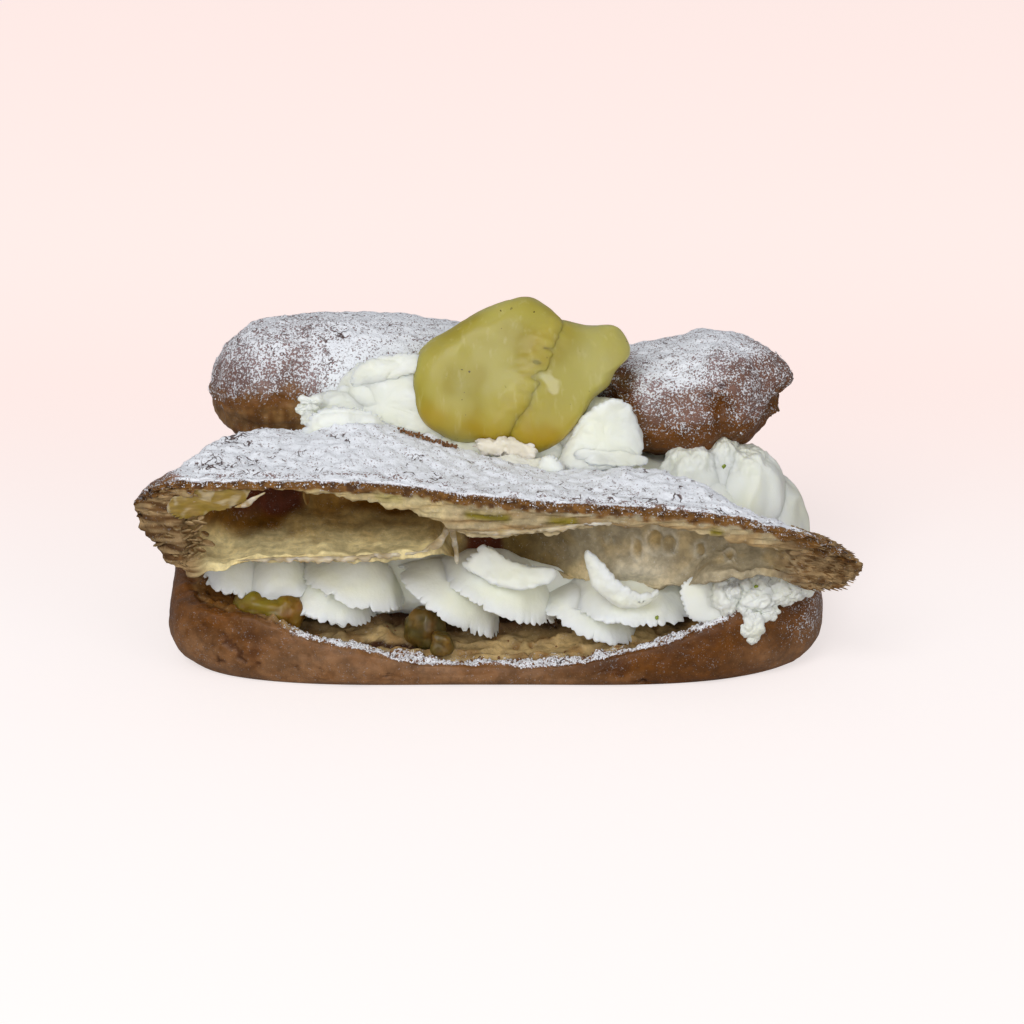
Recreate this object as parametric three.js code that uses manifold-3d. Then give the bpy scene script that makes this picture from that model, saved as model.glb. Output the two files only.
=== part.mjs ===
// A long cream puff. A choux bun is cut open on a slant. Its hollow lid is halved lengthwise.
// The base holds fruit and piped whipped cream, the two lid halves sit on the cream, and two
// fruit chunks lie between them. Units are millimetres. X runs along the bun, the open cut side
// faces -Y, +Z is up, and the origin is the middle of the footprint on the table.
import * as THREE from "three";
import { mergeVertices } from "three/addons/utils/BufferGeometryUtils.js";
import Module from "manifold-3d";

const wasm = await Module();
wasm.setup();

// ---- driving dimensions -------------------------------------------------------------------
const GAP = 0.3; // clearance kept between touching pieces
const MERGE = 0.1; // detail finer than this is merged away after the cuts

const BASE = {
  middleX: -1,
  halfLength: 64.8,
  halfDepth: 31.6,
  squareness: 4.4, // exponent of the footprint's superellipse
  footShare: 0.95, // flat foot, as a share of the footprint
  waist: 0.035, // how much narrower the middle is
  frontRim: 3.9, // height of the rim at the middle of the front
  frontRimRise: 0.0047, // how fast the front rim climbs towards the ends, per mm
  endRim: 14,
  backRim: 22,
  backRimDrop: 9, // how much lower the back rim is at the right end
  dish: 4.6, // height of the hollow's floor
};

// The front lid half, as [x, value] stations of smooth curves along it. Its section is a hook:
// the crust runs from the cut face back over the top, round the back edge and forward again to
// a lip, and the hollow's wall returns from the lip to the cut face. On the left the lip lies at
// the cut face, so the hollow has a floor. In the middle the floor is gone.
const FRONT_LID = {
  start: -69,
  end: 69.4,
  endRound: 4,
  lipThickness: 1.6,
  squareness: [[-69, 2.4], [-50, 3.2], [36, 3.2], [46, 2.2], [69.4, 2]],
  crown: [[-69, 0.2], [-60, 1.5], [-52, 3.6], [-46, 3.8], [-38, 2.8], [-33, 4.6], [-27, 5.6],
    [-22, 4.6], [-15, 2.6], [4, 1.6], [16, 1.8], [26, 3.2], [34, 3.6], [42, 2.2], [50, 0.6], [69.4, 0]],
  top: [[-69, 38.2], [-66, 40.6], [-60, 43.2], [-35, 43.6], [-21, 43.2], [-14, 42.4], [-7, 41],
    [2, 40.2], [12, 39], [22, 38.5], [36, 37.2], [44, 36.2], [50, 34.6], [58, 32.3], [64, 29.4],
    [69.4, 25.4]],
  bottom: [[-69, 34.6], [-66, 30.2], [-62, 25], [-57, 23.4], [-50, 25.6], [-28, 26.4], [-13, 27.6],
    [-7, 21], [4, 18], [24, 16.6], [34, 17.4], [41, 22.4], [52, 23], [62, 20.8], [66, 21.2],
    [69.4, 24.6]],
  front: [[-69, -28], [-60, -30.6], [0, -32], [58, -31.4], [69.4, -30]],
  back: [[-69, -26], [-62, -23], [-56, -11.5], [-50, -5.5], [-44, -3], [-28, -1.4], [-14, -2], [2, -7.5],
    [12, -9.5], [30, -10.5], [38, -14], [44, -20], [49, -23.4], [60, -26], [69.4, -28.5]],
  lip: [[-69, -28], [-60, -30.6], [-13, -31.8], [-7, -16], [4, -14], [16, -17.5], [26, -20.5],
    [34, -22], [41, -31.2], [58, -31.4], [69.4, -30]],
  hollow: [[-69, -28], [-60, -30.6], [-56, -24], [-46, -15], [-30, -10], [-18, -11], [-10, -15],
    [-4, -13], [8, -14], [18, -18], [30, -20], [42, -22.5], [52, -26], [60, -31.2], [69.4, -30]],
  ceiling: [[-69, 37.2], [-66, 38.6], [-60, 40], [-52, 40.8], [-44, 41.4], [-35, 40.6], [-26, 39.4],
    [-16, 37], [-9, 33.4], [-4, 31.6], [8, 32.4], [18, 33.8], [28, 34.1], [37, 33], [48, 29.8],
    [60, 27], [69.4, 25.2]],
};

const BACK_LID = {
  start: -58.4,
  end: 59.2,
  top: [[-58.4, 55], [-46, 58], [-30, 59], [-12, 57], [8, 53.4], [27, 51.8], [36, 53.4],
    [43, 55.8], [52, 54.6], [59.2, 52]],
  bottom: [[-58.4, 34], [-46, 34.5], [-30, 34.5], [0, 33.5], [24, 31.5], [42, 31.5], [52, 35],
    [59.2, 39]],
  front: [[-58.4, 7], [-45, 3.5], [-20, 3], [10, 4], [32, 1.5], [45, 2], [59.2, 8]],
  back: [[-58.4, 27], [-40, 32], [0, 32.8], [40, 32], [59.2, 26]],
  endRound: 12,
  squareness: 2.3,
};
// The front of the back lid is missing where the cream and the chunks lie.
const NOTCH = { centre: [5.5, -1, 45], radii: [20, 14.5, 17] };

const FRUIT_CHUNKS = {
  // outline in the chunk's own plane (right, up), from the right, anticlockwise
  chunk_left: {
    centre: [-0.5, 2.4, 53],
    lean: 24,
    yaw: -4,
    thick: 14,
    outline: [[12.6, 8.2], [8.6, 14.2], [5, 15], [-1.4, 12.8], [-6.6, 10], [-8.6, 8.2], [-13.6, 5.4],
      [-16.2, 2.4], [-16.8, -3], [-15.6, -9.4], [-12, -12.8], [-8, -14.4], [-2.6, -14.6], [1.4, -14.4],
      [5.2, -9], [9, -3], [11.4, 4.6]],
  },
  chunk_right: {
    centre: [15.5, 1.2, 50.1],
    lean: 24,
    yaw: 9,
    thick: 12,
    outline: [[11.8, 7.2], [9.8, 11], [7.4, 12.4], [2.2, 12], [-4.4, 12], [-8.4, 9], [-10, 4], [-12, -3],
      [-14, -9], [-12.6, -12.6], [-10, -13.2], [-7.2, -12.6], [-3, -10.8], [0.6, -6.6], [2.9, -1.8],
      [6.8, -0.6], [7.4, 2.2], [10.9, 4.2]],
  },
};

// Small fruit bits that lie in the base: [middle, half sizes, turn in degrees]
const FRUIT_BITS = {
  fruit_bit_left: [[-44.8, -21, 12], [7.6, 4.6, 4.4], -14],
  fruit_bit_middle: [[-14.2, -21.5, 8.6], [4, 4, 4.2], -24],
  fruit_bit_small: [[-10.8, -26, 7], [2.4, 2, 2.6], -10],
};

// Ruffles of piped cream: [middle, radius, thickness, right side down in degrees]. Each one is a
// round leaf whose edge droops, and each rosette is a stack that climbs to the right.
const RUFFLES = [
  [[-50, -15, 20.4], 7.4, 6, 20],
  [[-43, -15.5, 20.4], 7.6, 6, -2],
  [[-32.4, -15.5, 15.8], 9.6, 8, 14],
  [[-27, -15, 19.6], 10.8, 8, 18],
  [[-6.8, -15, 15.9], 11.6, 8, 34],
  [[2, -14, 18.1], 13.2, 8.5, 24],
  [[3, -16, 24.2], 8.4, 7, 6],
  [[19.6, -15.5, 13], 11, 7.5, 20],
  [[25.6, -13.5, 16.4], 14.2, 8.5, 6],
  [[23.9, -18.5, 21.6], 8.2, 5.5, 8],
];
const RUFFLE_DROOP = 5;
const RUFFLE_TEETH = 14;

// Mounds of cream: [middle, half sizes, lean back in degrees]
const END_DOLLOP = [
  [[49.8, -19, 13.4], [9.8, 8.5, 6.6], 0],
  [[34, 3, 25], [7.4, 9, 12], 0],
  [[42.5, 4, 24], [7.6, 10, 13], 0],
  [[52.2, 5, 19], [8.6, 12, 11.4], 0],
];
const TOP_MOUNDS = [
  [[-31, -1, 45.5], [9.5, 6.5, 5.5], 15],
  [[-24, 1, 49.5], [9, 6.5, 7], 20],
  [[-16, 1, 49], [6, 6.5, 7.5], 20],
  [[18, -2, 40], [11, 8, 8.6], 14],
  [[3, -2.6, 38.6], [13, 6.6, 5.4], 0],
];

// The cream that runs through the whole puff under the lids: a broad bed, and a narrower one
// on it that carries the back lid.
const CREAM_BEDS = [
  {
    start: -57,
    end: 58,
    top: [[-57, 24], [58, 22]],
    bottom: [[-57, 4], [58, 4]],
    front: [[-57, -12], [0, -17], [58, -12]],
    back: [[-57, 22], [0, 29], [58, 22]],
    endRound: 12,
    squareness: 2.6,
  },
  {
    start: -52,
    end: 54,
    top: [[-52, 42], [-20, 44], [20, 41], [54, 34]],
    bottom: [[-52, 14], [54, 14]],
    front: [[-52, -4], [-28, -8], [0, -8], [54, -8]],
    back: [[-52, 20], [0, 28], [54, 20]],
    endRound: 12,
    squareness: 2.4,
  },
];

const COLOURS = {
  crust: { color: 0x6b431f, roughness: 0.55 },
  cream: { color: 0xf1f0e2, roughness: 0.5 },
  fruit: { color: 0xb5a234, roughness: 0.25 },
};

// ---- small helpers ------------------------------------------------------------------------
const clamp = (value, low, high) => Math.min(high, Math.max(low, value));
const mix = (from, to, share) => from + (to - from) * share;
const degrees = (value) => (value * Math.PI) / 180;
const signedPower = (value, exponent) => Math.sign(value) * Math.abs(value) ** exponent;

function smoothstep(low, high, value) {
  const t = clamp((value - low) / (high - low), 0, 1);
  return t * t * (3 - 2 * t);
}

// A smooth curve through [x, value] stations that never swings past them: cubic pieces whose
// slope at a station is the harmonic mean of the slopes beside it, and 0 at a peak or a dip.
function along(stations, x) {
  const last = stations.length - 1;
  const rate = (k) => (stations[k + 1][1] - stations[k][1]) / (stations[k + 1][0] - stations[k][0]);
  const slope = (k) => {
    if (k === 0 || k === last) return rate(Math.min(k, last - 1));
    const [before, after] = [rate(k - 1), rate(k)];
    return before * after > 0 ? (2 * before * after) / (before + after) : 0;
  };
  const at = clamp(x, stations[0][0], stations[last][0]);
  let i = 0;
  while (i < last - 1 && at > stations[i + 1][0]) i++;
  const [[x0, v0], [x1, v1]] = [stations[i], stations[i + 1]];
  const width = x1 - x0;
  const t = (at - x0) / width;
  const [t2, t3] = [t * t, t * t * t];
  return (
    (2 * t3 - 3 * t2 + 1) * v0 +
    (t3 - 2 * t2 + t) * width * slope(i) +
    (3 * t2 - 2 * t3) * v1 +
    (t3 - t2) * width * slope(i + 1)
  );
}

// 1 along the body, falling to 0 at each end over the end's rounding.
function endFullness(x, start, end, round) {
  const t = Math.max(start + round - x, x - end + round, 0) / round;
  return Math.sqrt(Math.max(0, 1 - t ** 2.2));
}

// ---- from formulas to solids --------------------------------------------------------------
// A closed surface on a sphere's grid. place(turn, rise) gives the point at an angle round the
// axis and a share of the way from the first pole to the last. grow moves the skin outwards.
function closedSolid(columns, rows, place, grow = 0) {
  const sphere = new THREE.SphereGeometry(1, columns, rows);
  const position = sphere.getAttribute("position");
  const perRow = columns + 1;
  for (let i = 0; i < position.count; i++) {
    const turn = (2 * Math.PI * ((i % perRow) % columns)) / columns;
    const rise = Math.floor(i / perRow) / rows;
    position.setXYZ(i, ...place(turn, rise));
  }
  sphere.deleteAttribute("normal");
  sphere.deleteAttribute("uv");
  const skin = mergeVertices(sphere, 1e-3);
  if (solidOf(skin).volume() < 0) turnInsideOut(skin);
  if (grow) growSkin(skin, grow);
  return solidOf(skin);
}

function solidOf(geometry) {
  return new wasm.Manifold(
    new wasm.Mesh({
      numProp: 3,
      vertProperties: geometry.getAttribute("position").array,
      triVerts: new Uint32Array(geometry.index.array),
    }),
  );
}

function turnInsideOut(geometry) {
  const index = geometry.index.array;
  for (let i = 0; i < index.length; i += 3) {
    [index[i + 1], index[i + 2]] = [index[i + 2], index[i + 1]];
  }
}

function growSkin(geometry, distance) {
  geometry.computeVertexNormals();
  const position = geometry.getAttribute("position");
  const normal = geometry.getAttribute("normal");
  for (let i = 0; i < position.count; i++) {
    position.setXYZ(
      i,
      position.getX(i) + normal.getX(i) * distance,
      position.getY(i) + normal.getY(i) * distance,
      position.getZ(i) + normal.getZ(i) * distance,
    );
  }
  geometry.deleteAttribute("normal");
}

const joined = (solids) => solids.reduce((all, one) => all.add(one));

// The largest body of a cut solid, because a cut can leave slivers.
function largestBody(solid) {
  const bodies = solid.decompose();
  return bodies.reduce((best, one) => (one.volume() > best.volume() ? one : best));
}

// ---- choux: base --------------------------------------------------------------------------
function rimHeight(x, y) {
  const front = Math.min(BASE.endRim, BASE.frontRim + BASE.frontRimRise * x * x);
  const back = BASE.backRim - BASE.backRimDrop * smoothstep(34, 56, x);
  return mix(front, back, smoothstep(-22, 18, y));
}

// Share of the footprint and share of the rim's height along the base's profile, from the
// middle of the foot, up the bulging wall, over the lip and down into the dish.
const BASE_PROFILE = {
  share: [[0, 0], [0.16, BASE.footShare], [0.26, 0.985], [0.4, 1], [0.52, 0.985], [0.58, 0.95],
    [0.64, 0.9], [0.76, 0.79], [1, 0]],
  height: [[0, 0], [0.16, 0], [0.26, 0.14], [0.4, 0.55], [0.52, 0.95], [0.58, 1.02], [0.64, 0.94]],
};

function basePoint(turn, rise) {
  const wobble = 1 + 0.01 * Math.sin(3 * turn + 1) + 0.006 * Math.sin(5 * turn + 2.4);
  const share = Math.max(0, along(BASE_PROFILE.share, rise)) * wobble;
  const power = 2 / BASE.squareness;
  const reach = BASE.halfLength * share * signedPower(Math.cos(turn), power);
  const waist = 1 - BASE.waist * Math.exp(-((reach / 24) ** 2));
  const x = BASE.middleX + reach;
  const y = BASE.halfDepth * share * waist * signedPower(Math.sin(turn), power);
  const rim = rimHeight(x, y);
  const lipRise = 0.64;
  const wall = rim * Math.max(0, along(BASE_PROFILE.height, Math.min(rise, lipRise)));
  const dish = Math.min(BASE.dish, rim - 0.4);
  const z = rise <= lipRise ? wall : mix(rim * 0.94, dish, smoothstep(lipRise, 0.78, rise));
  return [x, y, z];
}

const baseSolid = (grow) => closedSolid(40, 19, basePoint, grow);

// ---- choux: lid halves --------------------------------------------------------------------
// The front lid's section at x as a loop of five legs: over the top to the back edge, under it
// to the lip, from the lip up to the hollow's deepest line, along the ceiling to the cut face,
// and up the cut face. Each curved leg is a quarter of a superellipse.
const LEGS = [0, 0.28, 0.5, 0.68, 0.92, 1];

function frontLidPoint(turn, rise) {
  const body = FRONT_LID;
  const x = mix(body.start, body.end, (1 - Math.cos(Math.PI * rise)) / 2);
  const at = (name) => along(body[name], x);
  const [top, bottom, front, back] = [at("top"), at("bottom"), at("front"), at("back")];
  const [lip, hollow, ceiling] = [at("lip"), at("hollow"), at("ceiling")];
  const open = smoothstep(2, 8, lip - front); // 1 where the floor is missing
  const thick = Math.min(body.lipThickness, (ceiling - bottom) * 0.3);
  const edge = mix(bottom, top, 0.42);
  const power = 2 / at("squareness");
  const lap = turn / (2 * Math.PI);
  const leg = LEGS.findIndex((end, i) => i > 0 && (lap <= end || i === 5)) - 1;
  const share = (lap - LEGS[leg]) / (LEGS[leg + 1] - LEGS[leg]);
  const [sine, cosine] = [Math.sin(share * Math.PI / 2) ** power, Math.max(0, Math.cos(share * Math.PI / 2)) ** power];
  const [innerLip, deepest] = [bottom + thick * (1 - open), mix(bottom + thick, ceiling, 0.45)];
  const legs = [
    [mix(front, back, sine), mix(edge, top, cosine) + at("crown") * Math.sin(share * Math.PI)],
    [mix(lip + thick * open, back, cosine), mix(edge, bottom, sine)],
    [mix(lip, hollow, sine), mix(deepest, innerLip, cosine)],
    [mix(front, hollow, cosine), mix(deepest, ceiling, sine)],
    [front, mix(ceiling, top, share)],
  ];
  const [y, z] = legs[leg];
  const fullness = endFullness(x, body.start, body.end, body.endRound);
  return [x, mix(mix(front, back, 0.4), y, fullness), mix(mix(bottom, top, 0.5), z, fullness)];
}

const frontLidSolid = (grow) => closedSolid(34, 34, frontLidPoint, grow);

// A rounded section carried along X, its ends rounded off like a loaf's.
function loafPoint(body, turn, rise) {
  const x = mix(body.start, body.end, (1 - Math.cos(Math.PI * rise)) / 2);
  const [top, bottom] = [along(body.top, x), along(body.bottom, x)];
  const [front, back] = [along(body.front, x), along(body.back, x)];
  const power = 2 / body.squareness;
  const fullness = endFullness(x, body.start, body.end, body.endRound);
  const y = mix(front, back, 0.5) + ((back - front) / 2) * fullness * signedPower(Math.cos(turn), power);
  const z = mix(bottom, top, 0.45) +
    (Math.sin(turn) > 0 ? 0.55 : 0.45) * (top - bottom) * fullness * signedPower(Math.sin(turn), power);
  return [x, y, z];
}

const loafSolid = (body, columns, rows, grow) =>
  closedSolid(columns, rows, (turn, rise) => loafPoint(body, turn, rise), grow);

function ellipsoidSolid([middle, half, lean], columns, rows, grow) {
  const tilt = degrees(lean);
  const place = (turn, rise) => {
    const ring = Math.sin(Math.PI * rise);
    const x = half[0] * ring * Math.cos(turn);
    const y = half[1] * ring * Math.sin(turn);
    const z = -half[2] * Math.cos(Math.PI * rise);
    return [
      middle[0] + x,
      middle[1] + y * Math.cos(tilt) + z * Math.sin(tilt),
      middle[2] - y * Math.sin(tilt) + z * Math.cos(tilt),
    ];
  };
  return closedSolid(columns, rows, place, grow);
}

function backLidSolid(grow) {
  const loaf = loafSolid(BACK_LID, 24, 22, grow);
  const notch = ellipsoidSolid([NOTCH.centre, NOTCH.radii, 0], 16, 10, -grow);
  return largestBody(loaf.subtract(notch));
}

// ---- fruit --------------------------------------------------------------------------------
// A pillow: the outline carried from one pole to the other, so that the two faces are nearly
// flat and the edge between them is round. It leans back and turns about the vertical.
function chunkPoint(chunk, turn, rise) {
  const count = chunk.outline.length;
  const place = (turn / (2 * Math.PI)) * count;
  const corners = [-1, 0, 1, 2].map((k) => chunk.outline[(Math.floor(place) + k + count) % count]);
  const t = place - Math.floor(place);
  const weights = [
    (1 - t) ** 3 / 6,
    (3 * t ** 3 - 6 * t ** 2 + 4) / 6,
    (-3 * t ** 3 + 3 * t ** 2 + 3 * t + 1) / 6,
    t ** 3 / 6,
  ];
  const spread = Math.sin(Math.PI * rise) ** 0.42;
  const [right, up] = [0, 1].map((axis) =>
    spread * corners.reduce((sum, corner, k) => sum + weights[k] * corner[axis], 0));
  const deep = -signedPower(Math.cos(Math.PI * rise), 0.8) * (chunk.thick / 2);
  const [lean, yaw] = [degrees(chunk.lean), degrees(chunk.yaw)];
  const back = deep * Math.cos(lean) + up * Math.sin(lean);
  return [
    chunk.centre[0] + right * Math.cos(yaw) - back * Math.sin(yaw),
    chunk.centre[1] + right * Math.sin(yaw) + back * Math.cos(yaw),
    chunk.centre[2] + up * Math.cos(lean) - deep * Math.sin(lean),
  ];
}

const chunkSolid = (chunk, grow) =>
  closedSolid(30, 8, (turn, rise) => chunkPoint(chunk, turn, rise), grow);

// A fruit bit is a rounded block, turned about the vertical.
function bitSolid([middle, half, turned], grow) {
  const angle = degrees(turned);
  const place = (turn, rise) => {
    const ring = Math.sin(Math.PI * rise) ** 0.7;
    const x = half[0] * ring * signedPower(Math.cos(turn), 0.8);
    const y = half[1] * ring * signedPower(Math.sin(turn), 0.8);
    const z = -half[2] * signedPower(Math.cos(Math.PI * rise), 0.8);
    return [
      middle[0] + x * Math.cos(angle) - y * Math.sin(angle),
      middle[1] + x * Math.sin(angle) + y * Math.cos(angle),
      middle[2] + z,
    ];
  };
  return closedSolid(12, 6, place, grow);
}

// ---- cream --------------------------------------------------------------------------------
// One ruffle: a round leaf, thick at its middle and thin at its drooping, toothed edge. Its
// teeth lie closer together at the front, where they show.
function rufflePoint([middle, radius, thick, tilt], turn, rise) {
  const angle = turn - 0.4 * Math.cos(turn);
  const share = Math.sin(Math.PI * rise) ** 0.75;
  const reach = radius * share * (1 + 0.045 * Math.cos(RUFFLE_TEETH * turn) * share);
  const x = reach * Math.cos(angle);
  const y = reach * Math.sin(angle);
  const lens = -Math.cos(Math.PI * rise) * (thick / 2) * mix(1, 0.55, share);
  const z = lens - RUFFLE_DROOP * share ** 2.4;
  const slope = degrees(tilt);
  return [
    middle[0] + x * Math.cos(slope) + z * Math.sin(slope),
    middle[1] + y,
    middle[2] - x * Math.sin(slope) + z * Math.cos(slope),
  ];
}

const creamSolid = () =>
  joined([
    ...CREAM_BEDS.map((bed) => loafSolid(bed, 14, 10, 0)),
    ...RUFFLES.map((ruffle) =>
      closedSolid(2 * RUFFLE_TEETH, 5, (turn, rise) => rufflePoint(ruffle, turn, rise))),
    ...[...END_DOLLOP, ...TOP_MOUNDS].map((mound) => ellipsoidSolid(mound, 14, 7, 0)),
  ]);

// ---- assembly -----------------------------------------------------------------------------
// Earlier pieces keep their shape, and each later one is cut back from all of them.
const PIECES = [
  ["base_shell", "crust", baseSolid],
  ["front_lid", "crust", frontLidSolid],
  ["back_lid", "crust", backLidSolid],
  ...Object.entries(FRUIT_CHUNKS).map(([name, chunk]) => [name, "fruit", (grow) => chunkSolid(chunk, grow)]),
  ...Object.entries(FRUIT_BITS).map(([name, bit]) => [name, "fruit", (grow) => bitSolid(bit, grow)]),
  ["whipped_cream", "cream", creamSolid],
];

function meshOf(name, finish, solid) {
  const { vertProperties, triVerts } = solid.simplify(MERGE).getMesh();
  const geometry = new THREE.BufferGeometry();
  geometry.setAttribute("position", new THREE.BufferAttribute(vertProperties, 3));
  geometry.setIndex(new THREE.BufferAttribute(triVerts, 1));
  geometry.computeVertexNormals();
  const material = new THREE.MeshStandardMaterial({ ...COLOURS[finish], metalness: 0 });
  const mesh = new THREE.Mesh(geometry, material);
  mesh.name = name;
  return mesh;
}

const creamPuff = new THREE.Group();
let earlier = null;
for (const [name, finish, make] of PIECES) {
  const whole = make(0);
  creamPuff.add(meshOf(name, finish, earlier ? largestBody(whole.subtract(earlier)) : whole));
  const cleared = whole.add(make(GAP));
  earlier = earlier ? earlier.add(cleared) : cleared;
}

export default creamPuff;
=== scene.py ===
# %% [markdown]
# # A long cream puff
#
# A choux bun is cut open on a slant. Its hollow lid is halved lengthwise: the front half shows its
# cut face, the back half stands higher behind it. Whipped cream is piped into the base and between
# the lids, fruit lies in it, and icing sugar is dusted over everything.
#
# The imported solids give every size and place. Each one is replaced by a much finer skin made with
# numpy from the same formulas, so that pores, torn edges and piped teeth can be real relief.

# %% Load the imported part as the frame
import math

import bpy
import numpy as np
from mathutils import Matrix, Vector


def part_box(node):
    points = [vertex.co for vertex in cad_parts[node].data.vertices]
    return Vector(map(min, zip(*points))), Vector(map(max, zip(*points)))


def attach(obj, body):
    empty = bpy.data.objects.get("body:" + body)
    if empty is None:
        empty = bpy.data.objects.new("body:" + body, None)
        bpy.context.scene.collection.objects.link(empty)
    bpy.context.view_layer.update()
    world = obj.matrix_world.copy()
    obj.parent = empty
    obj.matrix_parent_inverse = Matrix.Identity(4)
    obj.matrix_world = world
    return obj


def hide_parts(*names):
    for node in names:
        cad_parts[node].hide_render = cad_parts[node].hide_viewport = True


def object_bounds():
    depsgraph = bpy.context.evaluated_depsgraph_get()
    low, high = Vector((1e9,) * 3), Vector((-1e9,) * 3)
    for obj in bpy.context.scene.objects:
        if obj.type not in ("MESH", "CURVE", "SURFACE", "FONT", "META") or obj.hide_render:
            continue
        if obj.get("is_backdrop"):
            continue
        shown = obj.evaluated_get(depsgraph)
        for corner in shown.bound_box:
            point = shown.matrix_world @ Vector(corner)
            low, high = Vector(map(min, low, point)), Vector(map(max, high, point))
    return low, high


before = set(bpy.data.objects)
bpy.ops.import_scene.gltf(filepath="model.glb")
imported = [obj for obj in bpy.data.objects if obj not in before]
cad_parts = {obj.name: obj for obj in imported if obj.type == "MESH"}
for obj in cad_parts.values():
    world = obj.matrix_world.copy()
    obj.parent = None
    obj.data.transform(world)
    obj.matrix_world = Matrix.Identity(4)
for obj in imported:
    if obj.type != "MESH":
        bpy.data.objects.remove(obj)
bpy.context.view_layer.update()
MM = 0.001
print("solids:", sorted(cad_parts))

# %% [markdown]
# ## Curves and noise
#
# Every skin below is worked out as whole arrays. Two tools shape them: a smooth curve through a
# few stations, for sizes that change along the bun, and gradient noise, for everything baked, torn
# or piped. Blender has both, but only point by point. In numpy one call does a whole skin.

# %% A smooth curve through stations
def along(stations, x):
    """Cubic pieces through (x, value) stations. The slope at a station is the harmonic mean of the
    slopes beside it, and 0 at a peak or a dip, so the curve never swings past its stations."""
    xs, values = np.array(stations, float).T
    rate = np.diff(values) / np.diff(xs)
    before, after = rate[:-1], rate[1:]
    same = before * after > 0
    inner = np.where(same, 2 * before * after / np.where(same, before + after, 1), 0)
    slope = np.concatenate([rate[:1], inner, rate[-1:]])
    x = np.clip(x, xs[0], xs[-1])
    i = np.clip(np.searchsorted(xs, x, side="right") - 1, 0, len(xs) - 2)
    width = xs[i + 1] - xs[i]
    t = (x - xs[i]) / width
    return (
        (2 * t**3 - 3 * t**2 + 1) * values[i]
        + (t**3 - 2 * t**2 + t) * width * slope[i]
        + (3 * t**2 - 2 * t**3) * values[i + 1]
        + (t**3 - t**2) * width * slope[i + 1]
    )


def mix(start, end, share):
    """The value a share of the way from start to end."""
    return start + (end - start) * share


def smoothstep(low, high, value):
    """0 below low, 1 above high, and 3t^2 - 2t^3 between. It falls instead if high is the smaller."""
    t = np.clip((value - low) / (high - low), 0, 1)
    return t * t * (3 - 2 * t)


def signed_power(value, exponent):
    """A power that keeps the sign. On a sine or cosine it squares a circle, or pinches it."""
    return np.sign(value) * np.abs(value) ** exponent


def bump(value, middle, width):
    """A bell: 1 at the middle, falling to almost nothing two widths away."""
    return np.exp(-(((value - middle) / width) ** 2))


def between(value, low, high, soft):
    """1 from low to high, with soft edges."""
    return smoothstep(low - soft, low + soft, value) * smoothstep(high + soft, high - soft, value)


print("halfway along a test curve:", round(float(along([(0, 0), (1, 2), (2, 2)], 0.5)), 3))

# %% Gradient noise for whole arrays of points
CUBE_EDGES = np.array(
    [(x, y, 0) for x in (-1, 1) for y in (-1, 1)]
    + [(x, 0, z) for x in (-1, 1) for z in (-1, 1)]
    + [(0, y, z) for y in (-1, 1) for z in (-1, 1)],
    float,
)
CORNERS = [(x, y, z) for x in (0, 1) for y in (0, 1) for z in (0, 1)]


def scramble(cell, seed):
    """A repeatable whole number for each lattice cell: its place times large odd numbers, stirred."""
    x, y, z = cell.astype(np.uint32).T
    n = x * np.uint32(374761393) + y * np.uint32(668265263) + z * np.uint32(2246822519)
    n = n + np.uint32(seed * 40503 + 977)
    n = (n ^ (n >> np.uint32(13))) * np.uint32(1274126177)
    return n ^ (n >> np.uint32(16))


def noise(points, size, seed=0):
    """Noise from about -1 to 1 whose lumps are `size` across. Each lattice corner pulls along its own
    random direction, and the eight corners of a cell blend by 6t^5 - 15t^4 + 10t^3."""
    place = points / size + 0.5
    cell = np.floor(place).astype(np.int64)
    inside = place - cell
    blend = inside**3 * (inside * (inside * 6 - 15) + 10)
    total = np.zeros(len(points))
    for corner in CORNERS:
        pull = CUBE_EDGES[scramble(cell + corner, seed) % 12]
        weight = np.prod(np.where(corner, blend, 1 - blend), axis=1)
        total += weight * np.sum(pull * (inside - corner), axis=1)
    return 1.5 * total


ANGLE = math.radians(37)
TURN = np.array([
    (math.cos(ANGLE), -math.sin(ANGLE), 0),
    (math.sin(ANGLE) * 0.8, math.cos(ANGLE) * 0.8, -0.6),
    (math.sin(ANGLE) * 0.6, math.cos(ANGLE) * 0.6, 0.8),
])


def rough(points, size, layers=3, seed=0, keep=0.5):
    """Layers of noise. Each is half as large as the one before, `keep` times as strong, and turned."""
    total, height = 0, 1
    for layer in range(layers):
        total = total + height * noise(points, size, seed + 17 * layer)
        points, size, height = points @ TURN, size / 2, height * keep
    return total


def creases(points, size, seed=0, sharp=6):
    """1 on thin winding lines and 0 between them: one less the size of the noise, sharpened."""
    return (1 - np.abs(noise(points, size, seed))) ** sharp


def bubbles(points, size, seed=0):
    """Distances to the nearest and the next nearest of points scattered one to a cell, in cells."""
    place = points / size
    cell = np.floor(place).astype(np.int64)
    nearest = np.full(len(points), 9.0)
    second = nearest.copy()
    for step in np.ndindex(3, 3, 3):
        other = cell + step - 1
        spot = np.stack([scramble(other, seed + k) % 1000 / 1000 for k in range(3)], axis=1)
        far = np.linalg.norm(other + spot - place, axis=1)
        second = np.minimum(second, np.maximum(nearest, far))
        nearest = np.minimum(nearest, far)
    return nearest, second


sample = noise(np.random.default_rng(1).uniform(-50, 50, (20000, 3)), 7.0)
print("noise runs from", round(sample.min(), 2), "to", round(sample.max(), 2))

# %% [markdown]
# ## Closed skins
#
# Each skin lies on a globe's grid: a ring of columns carried from one pole to the other. That
# keeps every piece closed, whatever the formula does between the poles. A skin also carries masks,
# values at each point that tell its material where crust, crumb and sugar are.

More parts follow.
